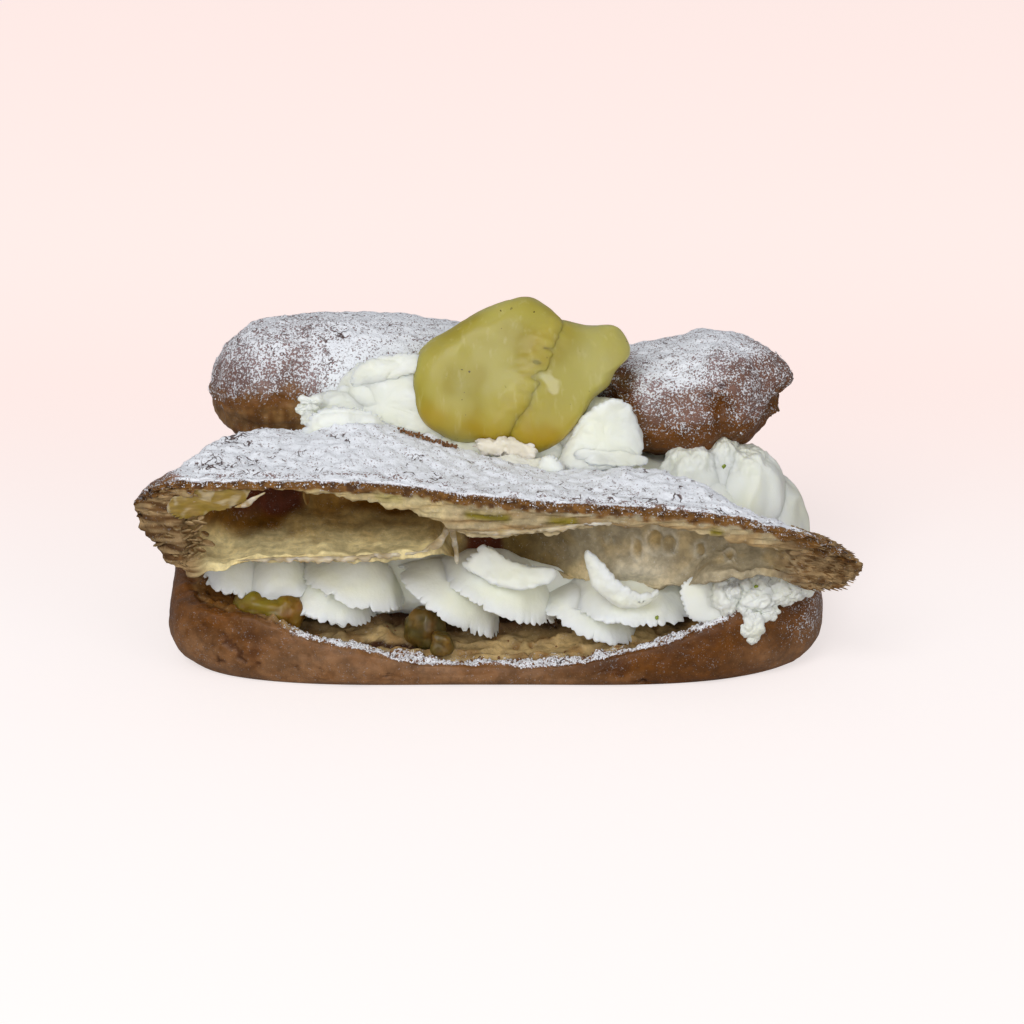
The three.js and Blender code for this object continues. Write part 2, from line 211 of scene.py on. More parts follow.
# %% Grids to closed skins
def closed_skin(rows, turns, place):
    """A skin on a globe's grid. place(turn, rise) gives a dict of arrays: x, y, z and any masks.
    turn goes once round each ring, rise goes from 0 at the first pole to 1 at the last."""
    columns = len(turns)
    rise = np.linspace(0, 1, rows + 1)[:, None]
    made = place(turns[None, :], rise)
    full = {key: np.broadcast_to(value, (rows + 1, columns)) for key, value in made.items()}
    flat = {
        key: np.concatenate([[value[0].mean()], value[1:-1].ravel(), [value[-1].mean()]])
        for key, value in full.items()
    }
    points = np.stack([flat.pop("x"), flat.pop("y"), flat.pop("z")], axis=1)
    ring, after = np.arange(columns), (np.arange(columns) + 1) % columns
    row = 1 + columns * np.arange(rows - 2)[:, None]
    quads = np.stack([row + ring, row + after, row + columns + after, row + columns + ring], -1)
    last = 1 + columns * (rows - 2)
    foot = np.stack([ring * 0, 1 + after, 1 + ring], -1)
    crown = np.stack([ring * 0 + len(points) - 1, last + ring, last + after], -1)
    triangles = np.vstack([foot, crown])
    return outward({"points": points, "quads": quads.reshape(-1, 4), "triangles": triangles, "masks": flat})


def outward(skin):
    """Turns every face round if the volume inside comes out negative."""
    p, (a, b, c, d) = skin["points"], skin["quads"].T
    middle = p.mean(axis=0)
    a, b, c, d = p[a] - middle, p[b] - middle, p[c] - middle, p[d] - middle
    if np.sum(a * np.cross(b, c)) + np.sum(a * np.cross(c, d)) < 0:
        skin["quads"], skin["triangles"] = skin["quads"][:, ::-1], skin["triangles"][:, ::-1]
    return skin


def facing(skin):
    """The way out at each point: the areas of the faces round it, added up and made one long."""
    p, total = skin["points"], np.zeros_like(skin["points"])
    for faces in (skin["quads"], skin["triangles"]):
        area = np.cross(p[faces[:, 2]] - p[faces[:, 0]], p[faces[:, -1]] - p[faces[:, 1]])
        for corner in faces.T:
            for axis in range(3):
                total[:, axis] += np.bincount(corner, area[:, axis], len(p))
    return total / np.maximum(np.linalg.norm(total, axis=1), 1e-9)[:, None]


def raised(skin, amount):
    """The same skin with each point moved outwards by its own amount."""
    skin["points"] = skin["points"] + facing(skin) * np.asarray(amount)[:, None]
    return skin


def together(skins):
    """Several skins as one: points and masks end to end, faces renumbered."""
    starts = np.cumsum([0] + [len(skin["points"]) for skin in skins[:-1]])
    return {
        "points": np.vstack([skin["points"] for skin in skins]),
        "quads": np.vstack([skin["quads"] + start for skin, start in zip(skins, starts)]),
        "triangles": np.vstack([skin["triangles"] + start for skin, start in zip(skins, starts)]),
        "masks": {
            key: np.concatenate([skin["masks"][key] for skin in skins]) for key in skins[0]["masks"]
        },
    }


def even_turns(columns, outline, front=1.0):
    """Turns that space a ring's points evenly, or `front` times closer where its second coordinate
    is negative. outline(turn) gives the ring's two coordinates."""
    fine = np.linspace(0, 2 * np.pi, 20001)
    sides = outline(fine)
    step = np.hypot(*(np.diff(side) for side in sides)) * np.where(sides[1][1:] < 0, front, 1)
    length = np.concatenate([[0], np.cumsum(step)])
    return np.interp(np.linspace(0, length[-1], columns, endpoint=False), length, fine)


def ring_turns(columns):
    """Turns that divide the circle evenly."""
    return np.arange(columns) * 2 * np.pi / columns


# %% [markdown]
# Thin and long forms share two more formulas. A sheet is an outline filled from its middle on the
# front and emptied again on the back, so it closes at its torn edge. A ribbon is a flat section
# carried along a smooth route, pointed at both ends.

# %% Sheets and ribbons
def spline_outline(corners, turn):
    """A closed cubic B-spline round the corners, at a turn from 0 to a full circle."""
    corners = np.array(corners, float)
    place = turn / (2 * np.pi) * len(corners)
    i = np.floor(place).astype(int)
    t = (place - i)[..., None]
    weights = [(1 - t) ** 3, 3 * t**3 - 6 * t**2 + 4, -3 * t**3 + 3 * t**2 + 3 * t + 1, t**3]
    spots = [corners[(i + k - 1) % len(corners)] for k in range(4)]
    return sum(weight * spot for weight, spot in zip(weights, spots)) / 6


def ring_noise(outline, size, seed):
    """Noise read along an outline, one value to a column."""
    flat = outline.reshape(-1, 2)
    return noise(np.column_stack([flat, np.full(len(flat), 3.7 * seed)]), size, seed).reshape(1, -1)


def sheet_skin(corners, origin, right, up, thick, bend=None, torn=0.4, tooth=1.6, seed=0, grid=(24, 160),
               taper=6):
    """A sheet in the plane of two unit ways, right and up, from its origin. Its outline is the spline
    round the corners, torn by noise to one depth, or to one below and one above its middle. share goes
    from 0 in the middle to 1 at the edge and back, bend(u, v) lifts the sheet along its normal, and
    its thickness goes as sqrt(1 - share^taper)."""
    right, up = np.array(right, float), np.array(up, float)
    right, up = right / np.linalg.norm(right), up / np.linalg.norm(up)
    normal = np.cross(right, up)
    centre = np.mean(np.array(corners, float), axis=0)
    torn_low, torn_high = np.broadcast_to(torn, 2)

    def place(turn, rise):
        outline = spline_outline(corners, turn)
        share = np.sin(np.pi * rise) ** 0.6
        notch = (1 - np.abs(ring_noise(outline, tooth, seed))) ** 5
        depth = mix(torn_low, torn_high, smoothstep(-1, 1, outline[..., 1] - centre[1]))
        reach = 1 - depth * notch / np.linalg.norm(outline - centre, axis=-1)
        u = centre[0] + (outline[..., 0] - centre[0]) * mix(1, reach, share**12) * share
        v = centre[1] + (outline[..., 1] - centre[1]) * mix(1, reach, share**12) * share
        half = -np.sign(np.cos(np.pi * rise)) * np.sqrt(np.maximum(0, 1 - share**taper)) * thick / 2
        lift = half + (bend(u, v) if bend else 0)
        x, y, z = (origin[k] + u * right[k] + v * up[k] + lift * normal[k] for k in range(3))
        return {"x": x, "y": y, "z": z, "edge": share**4 + 0 * u}

    return closed_skin(grid[0], ring_turns(grid[1]), place)


def ribbon_skin(route, wide, deep, torn=0.3, seed=0, grid=(120, 28), blunt=0.45):
    """A ribbon through the points of its route. Its section is an ellipse, `wide` along the front (one
    number, or one for each point) and `deep` along Y, and shrinks to both ends as sin(pi rise)^blunt."""
    shares = np.linspace(0, 1, len(route))
    widths = list(zip(shares, np.broadcast_to(wide, len(route))))

    def place(turn, rise):
        x, y, z = (along(list(zip(shares, side)), rise) for side in np.array(route, float).T)
        wide = along(widths, rise)
        run, climb = np.gradient(x, axis=0), np.gradient(z, axis=0)
        long = np.maximum(np.hypot(run, climb), 1e-9)
        full = np.sin(np.pi * rise) ** blunt
        line = np.column_stack([x.ravel(), z.ravel()])
        ragged = (ring_noise(line, 1.1, seed) + 0.6 * ring_noise(line, 3.1, seed + 5)).reshape(-1, 1)
        across = (wide / 2 * np.cos(turn) + torn * ragged * (np.cos(turn) < 0)) * full
        return {
            "x": x - across * climb / long,
            "y": y + deep / 2 * np.sin(turn) * full,
            "z": z + across * run / long,
            "edge": 0.5 - 0.5 * np.cos(turn) + 0 * rise,
        }

    return closed_skin(grid[0], ring_turns(grid[1]), place)


test_sheet = sheet_skin([(-1, -1), (1, -1), (1, 1), (-1, 1)], (0, 0, 0), (1, 0, 0), (0, 0, 1), 0.2)
print("a test sheet is", np.ptp(test_sheet["points"], axis=0).round(2), "mm")

# %% [markdown]
# Grains, crumbs and fibres are copies of one small ball of 36 triangles, stretched and turned, joined
# in one mesh. They are scattered over a skin by picking its points with a chance set by a mask.
#
# A particle system would do the same, but its copies are no mesh of their own, and a mesh is what a
# library part keeps.

# %% Copies of a small ball
def small_ball():
    """A globe of radius 1 with six columns and four rows."""

    def place(turn, rise):
        ring = np.sin(np.pi * rise)
        return {"x": ring * np.cos(turn), "y": ring * np.sin(turn), "z": -np.cos(np.pi * rise) + 0 * turn}

    return closed_skin(4, ring_turns(6), place)


def scattered(places, ways, sizes, seed, lumpy=0.25):
    """A ball at each place, its long axis along its own way, its three half sizes from `sizes`."""
    ball = small_ball()
    dice = np.random.default_rng(seed)
    ways = ways / np.maximum(np.linalg.norm(ways, axis=1), 1e-9)[:, None]
    side = np.cross(ways, dice.normal(size=ways.shape))
    side = side / np.linalg.norm(side, axis=1)[:, None]
    axes = np.stack([side, np.cross(ways, side), ways], axis=1) * sizes[:, :, None]
    shape = ball["points"][None] * (1 + lumpy * dice.uniform(-1, 1, (len(places), len(ball["points"]), 1)))
    points = places[:, None] + np.einsum("nkc,ncd->nkd", shape, axes)
    start = (np.arange(len(places)) * len(ball["points"]))[:, None, None]
    return {
        "points": points.reshape(-1, 3),
        "quads": (ball["quads"] + start).reshape(-1, 4),
        "triangles": (ball["triangles"] + start).reshape(-1, 3),
        "masks": {},
    }


def spots_on(skin, weight, count, seed):
    """Random points of a skin, picked in proportion to a weight, and the way out at each."""
    dice = np.random.default_rng(seed)
    chosen = dice.choice(len(weight), count, p=weight / weight.sum())
    return skin["points"][chosen], facing(skin)[chosen], dice


def grains_on(skin, weight, count, size, seed):
    """Uneven grains of about a size, half sunk in a skin."""
    places, ways, dice = spots_on(skin, weight, count, seed)
    big = size * dice.uniform(0.5, 1.3, (count, 1)) ** 1.5
    places = places + dice.normal(0, 0.1, places.shape)
    half_sizes = big * dice.uniform((0.7, 0.8, 0.4), (1.6, 1.2, 0.8), (count, 3))
    return scattered(places, ways, half_sizes, seed, 0.4)


print("a small ball has", 2 * len(small_ball()["quads"]) + len(small_ball()["triangles"]), "triangles")

# %% [markdown]
# A finished skin becomes a Blender mesh. Its object stays at the origin, unturned and unscaled, so a
# pattern on Object coordinates lies still. The masks go in as attributes of the points.

# %% Skins to pieces of the object
def fitted(skin, node):
    """Moves and stretches a skin along X, Y and Z until its box is the box of its solid."""
    low, high = (np.array(corner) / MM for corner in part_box(node))
    own_low, own_high = skin["points"].min(0), skin["points"].max(0)
    skin["points"] = low + (skin["points"] - own_low) * (high - low) / (own_high - own_low)
    return skin


def make_piece(name, skin, material, slot, *nodes):
    """A smooth-shaded mesh that rides with the puff, with the given material, and stands for the named
    solids. The slot is not used. A mask with three columns becomes a colour."""
    mesh = bpy.data.meshes.new(name)
    faces = skin["quads"].tolist() + skin["triangles"].tolist()
    mesh.from_pydata((skin["points"] * MM).tolist(), [], faces)
    mesh.polygons.foreach_set("use_smooth", np.ones(len(faces), bool))
    for mask, values in skin["masks"].items():
        if values.ndim == 2:
            kind, key, values = "FLOAT_COLOR", "color", np.column_stack([values, np.ones(len(values))])
        else:
            kind, key = "FLOAT", "value"
        mesh.attributes.new(mask, kind, "POINT").data.foreach_set(key, values.astype(np.float32).ravel())
    mesh.materials.append(material)
    mesh.update()
    piece = bpy.data.objects.new(name, mesh)
    bpy.context.scene.collection.objects.link(piece)
    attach(piece, "root")
    if nodes:
        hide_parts(*nodes)
    triangles = 2 * len(skin["quads"]) + len(skin["triangles"])
    print(f"{name}: {triangles} triangles, {np.ptp(skin['points'], axis=0).round(1)} mm")


# %% [markdown]
# ## Finishes
#
# Four things are seen: baked choux and its torn inside, cream, wet fruit, and sugar over all of
# them. The broad colours are painted point by point when a skin is made, because they follow the
# form: dark in a hollow, pale on a torn edge. The materials add everything finer. They read Object
# coordinates, so nothing slides when the camera moves, and their sizes below are in millimetres.

# %% Colours and paint
def colour(red, green, blue):
    """A screen colour from 0 to 255 as the linear values that shaders take."""
    share = np.array([red, green, blue]) / 255
    linear = np.where(share <= 0.04045, share / 12.92, ((share + 0.055) / 1.055) ** 2.4)
    return (*(float(value) for value in linear), 1.0)


def painted(first, *coats):
    """One colour for each point: a first colour, then (share, colour) coats laid over it in turn."""
    tint = np.array(first[:3])[None, :]
    for share, shade in coats:
        tint = mix(tint, np.array(shade[:3])[None, :], np.clip(share, 0, 1)[:, None])
    return tint


print("a middle grey is", np.round(colour(128, 128, 128)[0], 3), "in linear light")

# %% Short names for building node trees
def add_node(tree, kind, inputs=None, **settings):
    """A node with its settings. An input is a plain value, or a socket of another node to link."""
    made = tree.nodes.new(kind)
    for key, value in settings.items():
        setattr(made, key, value)
    for key, value in (inputs or {}).items():
        if isinstance(value, bpy.types.NodeSocket):
            tree.links.new(value, made.inputs[key])
        else:
            made.inputs[key].default_value = value
    return made


def maths(tree, operation, first, second=0.0, clamp=False):
    made = add_node(tree, "ShaderNodeMath", {0: first, 1: second}, operation=operation)
    made.use_clamp = clamp
    return made.outputs[0]


def times(tree, first, second):
    return maths(tree, "MULTIPLY", first, second)


def plus(tree, first, second):
    return maths(tree, "ADD", first, second)


def less(tree, first, second):
    return maths(tree, "SUBTRACT", first, second)


def ramp(tree, value, low, high, to_low=0.0, to_high=1.0):
    """A smooth step of a value from low to high."""
    inputs = {"Value": value, "From Min": low, "From Max": high, "To Min": to_low, "To Max": to_high}
    return add_node(tree, "ShaderNodeMapRange", inputs, interpolation_type="SMOOTHSTEP").outputs[0]


def blend_colours(tree, share, first, second):
    return add_node(tree, "ShaderNodeMix", {0: share, 6: first, 7: second}, data_type="RGBA").outputs[2]


def scaled(tree, shade, amount):
    """A colour made lighter or darker by a number."""
    return add_node(tree, "ShaderNodeVectorMath", {0: shade, "Scale": amount}, operation="SCALE").outputs[0]


def noise_value(tree, place, size_mm, detail=2.0, seed=0.0, roughness=0.5):
    """Blender's noise with lumps of a size in millimetres. seed shifts the pattern."""
    shift = (seed, seed * 0.7, -seed)
    shifted = add_node(tree, "ShaderNodeVectorMath", {0: place, 1: shift}, operation="ADD").outputs[0]
    inputs = {"Vector": shifted, "Scale": 1000 / size_mm, "Detail": detail, "Roughness": roughness}
    return add_node(tree, "ShaderNodeTexNoise", inputs).outputs[0]


def object_place(tree):
    return add_node(tree, "ShaderNodeTexCoord").outputs["Object"]


def drawn_out(tree, place, turned, stretch):
    """Object coordinates turned, then scaled: noise grows longer along an axis scaled below one."""
    inputs = {"Vector": place, "Rotation": turned, "Scale": stretch}
    return add_node(tree, "ShaderNodeMapping", inputs).outputs[0]


def mask_value(tree, name):
    return add_node(tree, "ShaderNodeAttribute", attribute_name=name).outputs["Fac"]


def painted_colour(tree):
    return add_node(tree, "ShaderNodeAttribute", attribute_name="tint").outputs["Color"]


def new_group(name, inputs, outputs):
    """An empty node group with named number inputs and named outputs."""
    tree = bpy.data.node_groups.new(name, "ShaderNodeTree")
    for label, start in inputs.items():
        socket = tree.interface.new_socket(label, in_out="INPUT", socket_type="NodeSocketFloat")
        socket.default_value = start
    for label in outputs:
        tree.interface.new_socket(label, in_out="OUTPUT", socket_type="NodeSocketFloat")
    return tree, tree.nodes.new("NodeGroupInput"), tree.nodes.new("NodeGroupOutput")


def new_material(name, **settings):
    """A material with one Principled shader. settings are constants set on the shader's own sockets."""
    material = bpy.data.materials.new(name)
    material.use_nodes = True
    shader = material.node_tree.nodes["Principled BSDF"]
    for key, value in settings.items():
        shader.inputs[key.replace("_", " ").title().replace("Ior", "IOR")].default_value = value
    return material, material.node_tree, shader


def bumped(tree, shader, height, strength, distance):
    """Fine relief from a height between 0 and 1. distance is how high 1 stands, in metres."""
    relief = add_node(tree, "ShaderNodeBump", {"Strength": strength, "Distance": distance, "Height": height})
    tree.links.new(relief.outputs[0], shader.inputs["Normal"])


# %% [markdown]
# ### Icing sugar
#
# Sugar falls in grains and clumps. Where little falls, only the highest noise gets a speck, and
# where much falls only thin gaps stay brown. So one number, the coverage, moves a threshold through
# noise of three sizes. On a thick coat the gaps are short winding cracks: the thin lines where a
# noise passes its middle value, kept only where a broader noise is high. The number "cracks" says
# how high, so it makes them fewer and not fainter. It is a node group, because an effect is easier
# to follow apart from the skin that it lies on. The group gives masks and a height, and the shader
# stays in the material.

# %% The sugar group
SUGAR_COLOUR = colour(247, 250, 255)
SUGAR_HAZE = colour(168, 144, 146)
CRACK_COLOUR = colour(84, 68, 66)

dusting, taken, given = new_group(
    "Sugar dusting", {"Coverage": 0.5, "Cracks": 0.0}, ["Mask", "Haze", "Height", "Dark"]
)
place = object_place(dusting)
coverage = taken.outputs["Coverage"]
specks = noise_value(dusting, place, 0.46, 1.0, 0.31)
patches = noise_value(dusting, place, 2.6, 2.0, 0.57)
grains = noise_value(dusting, place, 0.24, 1.0, 0.83)
lumps = noise_value(dusting, place, 1.9, 2.0, 0.95, 0.55)
field = plus(dusting, times(dusting, specks, 0.42), times(dusting, patches, 0.2))
field = plus(dusting, field, times(dusting, grains, 0.38))
spread = ramp(dusting, field, 0.36, 0.64)
coat = ramp(dusting, less(dusting, spread, less(dusting, 1.0, coverage)), -0.08, 0.18)
coat = times(dusting, coat, ramp(dusting, coverage, 0.1, 0.9, 0.6, 1.0))


def crack_lines(size_mm, patch_mm, seed):
    """1 on short winding lines: near the middle value of one noise, where another is high."""
    from_middle = less(dusting, noise_value(dusting, place, size_mm, 2.0, seed), 0.5)
    line = ramp(dusting, maths(dusting, "ABSOLUTE", from_middle), 0.036, 0.01)
    height = noise_value(dusting, place, patch_mm, 1.0, seed + 0.2)
    lowered = times(dusting, less(dusting, taken.outputs["Cracks"], 1.0), 0.26)
    gate = ramp(dusting, plus(dusting, height, lowered), 0.53, 0.6)
    return maths(dusting, "MULTIPLY", line, gate, clamp=True)


cracked = maths(dusting, "MAXIMUM", crack_lines(2.8, 4.2, 0.15), crack_lines(1.5, 2.6, 0.45))
mask = times(dusting, coat, less(dusting, 1.0, cracked))
lumpy = plus(dusting, times(dusting, lumps, 0.9), times(dusting, grains, 0.2))
results = {
    "Mask": mask,
    "Haze": ramp(dusting, coverage, 0.2, 0.66, 0.0, 0.7),
    "Height": times(dusting, mask, plus(dusting, lumpy, 0.4)),
    "Dark": times(dusting, coat, cracked),
}
for label, value in results.items():
    dusting.links.new(value, given.inputs[label])
print("sugar group:", len(dusting.nodes), "nodes")

# %% [markdown]
# ### Baked choux
#
# Choux browns unevenly, with a satin skin and a few paler pricks. Inside, the crumb is a pale,
# moist web. One material covers both, because a bun has both on one skin: the paint gives the
# colour and the mask "crumb" the roughness.

# %% The choux material
PRICK_COLOUR = colour(186, 150, 104)

choux, tree, shader = new_material("baked_choux", specular_ior_level=0.3)
place = object_place(tree)
small = noise_value(tree, place, 1.5, 3.0, 0.23, 0.6)
fine = noise_value(tree, place, 0.35, 2.0, 0.41)
cloudy = noise_value(tree, place, 5.5, 3.0, 0.11)
light = times(tree, ramp(tree, small, 0.3, 0.7, 0.8, 1.18), ramp(tree, cloudy, 0.35, 0.65, 0.84, 1.14))
crust = maths(tree, "SUBTRACT", 1.0, mask_value(tree, "crumb"), clamp=True)
pricks = times(tree, ramp(tree, fine, 0.64, 0.74, 0.0, 0.3), crust)
baked = blend_colours(tree, pricks, scaled(tree, painted_colour(tree), light), PRICK_COLOUR)
amounts = {"Coverage": mask_value(tree, "sugar"), "Cracks": mask_value(tree, "cracks")}
sugar = add_node(tree, "ShaderNodeGroup", amounts, node_tree=dusting).outputs
for label, shade in (("Haze", SUGAR_HAZE), ("Dark", CRACK_COLOUR), ("Mask", SUGAR_COLOUR)):
    baked = blend_colours(tree, sugar[label], baked, shade)
tree.links.new(baked, shader.inputs["Base Color"])
rough_bare = ramp(tree, mask_value(tree, "crumb"), 0.0, 1.0, 0.46, 0.72)
rough_skin = maths(tree, "MAXIMUM", rough_bare, times(tree, sugar["Mask"], 0.95))
tree.links.new(rough_skin, shader.inputs["Roughness"])
skin_height = plus(tree, times(tree, small, 0.35), times(tree, fine, 0.2))
bumped(tree, shader, plus(tree, skin_height, sugar["Height"]), 0.7, 0.0005)
print("choux material:", len(tree.nodes), "nodes")

# %% [markdown]
# ### Thin membranes
#
# Inside the lid the dough has blown into skins thinner than paper. Light comes through them, so
# they glow more than the crumb does. Scattering with a radius of a millimetre or two does that.

# %% The membrane material
membrane, tree, shader = new_material(
    "choux_membrane",
    roughness=0.5,
    specular_ior_level=0.35,
    subsurface_weight=0.5,
    subsurface_scale=0.0016,
    subsurface_radius=(1.0, 0.8, 0.45),
)
drawn = drawn_out(tree, object_place(tree), (0.0, 0.12, 0.0), (0.22, 1.0, 1.0))
fibres = noise_value(tree, drawn, 0.7, 3.0, 0.33)
lit = scaled(tree, painted_colour(tree), ramp(tree, fibres, 0.3, 0.7, 0.82, 1.15))
tree.links.new(lit, shader.inputs["Base Color"])
bumped(tree, shader, fibres, 0.4, 0.0002)
print("membrane material:", len(tree.nodes), "nodes")

# %% [markdown]
# ### Whipped cream
#
# Cream scatters light inside, so its shadows are soft and slightly yellow, and its thin edges are
# bluish. The bump is only the small bubbles in it.

# %% The cream material
CREAM_YELLOW, CREAM_WHITE = colour(240, 242, 224), colour(240, 243, 234)
CREAM_EDGE, CREAM_PEACH = colour(238, 243, 244), colour(238, 214, 192)

cream, tree, shader = new_material(
    "whipped_cream",
    roughness=0.4,
    subsurface_weight=0.4,
    subsurface_scale=0.0024,
    subsurface_radius=(1.0, 0.95, 0.75),
    specular_ior_level=0.4,
)
place = object_place(tree)
broad = noise_value(tree, place, 9.0, 2.0, 0.19)
froth = noise_value(tree, place, 0.6, 3.0, 0.37, 0.6)
body = blend_colours(tree, ramp(tree, broad, 0.35, 0.65), CREAM_YELLOW, CREAM_WHITE)
body = blend_colours(tree, ramp(tree, mask_value(tree, "edge"), 0.3, 1.0, 0.0, 0.7), body, CREAM_EDGE)
body = blend_colours(tree, mask_value(tree, "warm"), body, CREAM_PEACH)
tree.links.new(body, shader.inputs["Base Color"])
bumped(tree, shader, froth, 0.25, 0.0002)
print("cream material:", len(tree.nodes), "nodes")

# %% [markdown]
# ### Wet fruit
#
# The chunks are translucent, yellow-green, with pale fibres that run up them and a moist surface.
# Scattering with a long radius gives the glow, a thin clear coat gives a few soft highlights. The
# mask "cloud" keeps the pale clouds and fibres off the bits in the base, which are painted dark
# as painted shade.

# %% The fruit material
CLOUD_COLOUR, STRAND_COLOUR, DOT_COLOUR = colour(194, 186, 100), colour(214, 208, 150), colour(92, 80, 34)

fruit, tree, shader = new_material(
    "wet_fruit",
    roughness=0.42,
    subsurface_weight=0.9,
    subsurface_scale=0.007,
    subsurface_radius=(1.0, 0.85, 0.3),
    coat_weight=0.15,
    coat_roughness=0.16,
    specular_ior_level=0.35,
)
place = object_place(tree)
fibres = noise_value(tree, drawn_out(tree, place, (0.35, 0.3, 0.0), (1.0, 1.0, 0.16)), 1.4, 3.0, 0.29)
cloudy = noise_value(tree, place, 8.0, 1.0, 0.47)
clouds = times(tree, ramp(tree, cloudy, 0.35, 0.65, 0.0, 0.5), mask_value(tree, "cloud"))
strands = times(tree, ramp(tree, fibres, 0.55, 0.8, 0.0, 0.3), mask_value(tree, "cloud"))
dots = ramp(tree, noise_value(tree, place, 0.9, 0.0, 0.61), 0.8, 0.83)
dots = times(tree, dots, ramp(tree, noise_value(tree, place, 7.0, 0.0, 0.87), 0.5, 0.56))
flesh = painted_colour(tree)
for share, shade in ((clouds, CLOUD_COLOUR), (strands, STRAND_COLOUR), (dots, DOT_COLOUR)):
    flesh = blend_colours(tree, share, flesh, shade)
tree.links.new(flesh, shader.inputs["Base Color"])
wet = plus(tree, times(tree, fibres, 0.4), noise_value(tree, place, 3.0, 2.0, 0.71))
bumped(tree, shader, wet, 0.2, 0.0003)
print("fruit material:", len(tree.nodes), "nodes")

# %% [markdown]
# ### Loose bits
#
# Grains, crumbs and flecks are too small to show more than one colour each, so their colour only
# drifts between two from place to place.

# %% Loose sugar, crumbs and herbs
def drifting_material(name, size_mm, first, second, **settings):
    """A matte material whose colour drifts between two with noise of a size."""
    material, tree, shader = new_material(name, **settings)
    drift = noise_value(tree, object_place(tree), size_mm)
    tree.links.new(blend_colours(tree, drift, first, second), shader.inputs["Base Color"])
    return material


loose_sugar = drifting_material(
    "loose_sugar", 0.8, colour(228, 228, 232), colour(250, 250, 253), roughness=0.9, specular_ior_level=0.3
)
crumb_bits = drifting_material(
    "crumb_bits", 1.6, colour(88, 50, 26), colour(158, 116, 76), roughness=0.7, specular_ior_level=0.3
)
herb = drifting_material("green_fleck", 0.4, colour(104, 126, 30), colour(160, 172, 60), roughness=0.5)
print("materials:", [material.name for material in bpy.data.materials])

# %% [markdown]
# ## The base
#
# The base is a flat-bottomed tray of crust with a low front rim, cut on a slant so that the back
# wall is high. A profile (foot, bulging wall, lip, dish) is carried round a squarish oval. The
# crumb inside climbs gently from the front rim towards the middle. Spinning the profile would be
# simpler, but gives a round tray with a level rim.

# %% The base's skin
BASE_SQUARENESS = 4.4
BASE_WAIST = 0.035
BASE_HALF = (64.8, 31.6)
BASE_SHARE = [(0, 0), (0.16, 0.95), (0.26, 0.985), (0.4, 1), (0.52, 0.985), (0.58, 0.95), (0.64, 0.9),
              (0.76, 0.79), (1, 0)]
BASE_HEIGHT = [(0, 0), (0.16, 0), (0.26, 0.14), (0.4, 0.55), (0.52, 0.95), (0.58, 1.02), (0.64, 0.94)]
LIP_END = 0.64
BASE_ROWS, BASE_COLUMNS = 140, 560


def base_rim(x, y):
    """Rim height: a shallow parabola along the front, rising smoothly to the back wall."""
    front = np.minimum(14, 3.9 + 0.0047 * x * x)
    back = 22 - 9 * smoothstep(34, 56, x)
    return mix(front, back, smoothstep(-22, 18, y))


def base_outline(turn):
    """A superellipse with a slightly narrower middle."""
    power = 2 / BASE_SQUARENESS
    x = BASE_HALF[0] * signed_power(np.cos(turn), power)
    waist = 1 - BASE_WAIST * np.exp(-((x / 24) ** 2))
    return x, BASE_HALF[1] * waist * signed_power(np.sin(turn), power)


def base_place(turn, rise):
    """The outline shrunk by the profile's share, at the profile's share of the rim's height. Rows lie
    closest together on the wall, the lip and the front of the crumb."""
    step = np.interp(rise, [0, 0.04, 0.48, 0.66, 0.93, 1], [0, 0.16, LIP_END, 0.78, 0.92, 1])
    share = along(BASE_SHARE, step) * (1 + 0.01 * np.sin(3 * turn + 1) + 0.006 * np.sin(5 * turn + 2.4))
    share = share * (1 - 0.035 * smoothstep(0.36, 0.16, step) * np.abs(np.cos(turn)) ** 0.5)
    x, y = (side * share for side in base_outline(turn))
    rim = base_rim(x - 1, y)
    wall = rim * np.maximum(0, along(BASE_HEIGHT, np.minimum(step, LIP_END)))
    ends = np.maximum(smoothstep(-38, -50, x), smoothstep(36, 46, x))
    climb = 3.2 * smoothstep(-28, -15, y) * smoothstep(2, -4, y) + 4.4 * ends
    bed = np.minimum(4.6 + climb, rim * 0.96 + climb * 0.25)
    dish = mix(rim * 0.94, bed, smoothstep(LIP_END, 0.78, step))
    return {"x": x - 1, "y": y, "z": np.where(step <= LIP_END, wall, dish), "step": step + 0 * x}


base_turns = even_turns(BASE_COLUMNS, base_outline, 2.2)
base = fitted(closed_skin(BASE_ROWS, base_turns, base_place), "base_shell")
print("base skin:", base["points"].shape)

# %% [markdown]
# The crust has soft wrinkles and a few pits. The crumb has pores, folds, and slits where a fold has
# come away. Sugar lies on the lip and the first millimetres of crumb, but not at the left end.
# Holes could be cut out with booleans. Dents in the skin keep it closed, and have soft edges.
# The crumb at the back, under the cream, and the slits, pits and pores are painted darker: painted shade.

# %% Cracks, pores and sugar on the base
PITS = [  # x, z, half width, half height, depth on the front wall
    (-51.9, 8.4, 0.9, 2.0, 0.7),
    (-49.4, 5.6, 0.7, 1.3, 0.8),
    (-53.9, 4.2, 0.5, 1.0, 0.7),
    (-46.4, 4.4, 0.4, 0.8, 0.5),
    (-56.4, 11.2, 0.9, 0.35, 0.5),
    (-41.8, 7.0, 0.4, 0.7, 0.4),
    (-38.4, 4.0, 0.8, 0.4, 0.4),
    (-34.0, 3.6, 0.4, 0.9, 0.4),
    (-21.5, 2.2, 0.7, 0.35, 0.6),
    (28.4, 1.1, 1.5, 0.3, 0.7),
]
SLITS = [  # x, y, half length, half width, depth in the crumb
    (-24.4, -22.4, 2.2, 0.7, 1.8),
    (-17.8, -23.0, 3.4, 0.8, 2.2),
    (-33.6, -23.6, 3.0, 1.2, 3.4),
    (2.0, -23.6, 2.2, 0.4, 0.8),
    (21.0, -22.4, 2.6, 0.5, 0.9),
]
CRUST_AMBER, CRUST_DEEP = colour(104, 60, 8), colour(70, 36, 8)
CRUST_TAN, CRUST_RIGHT = colour(134, 96, 62), colour(94, 52, 2)
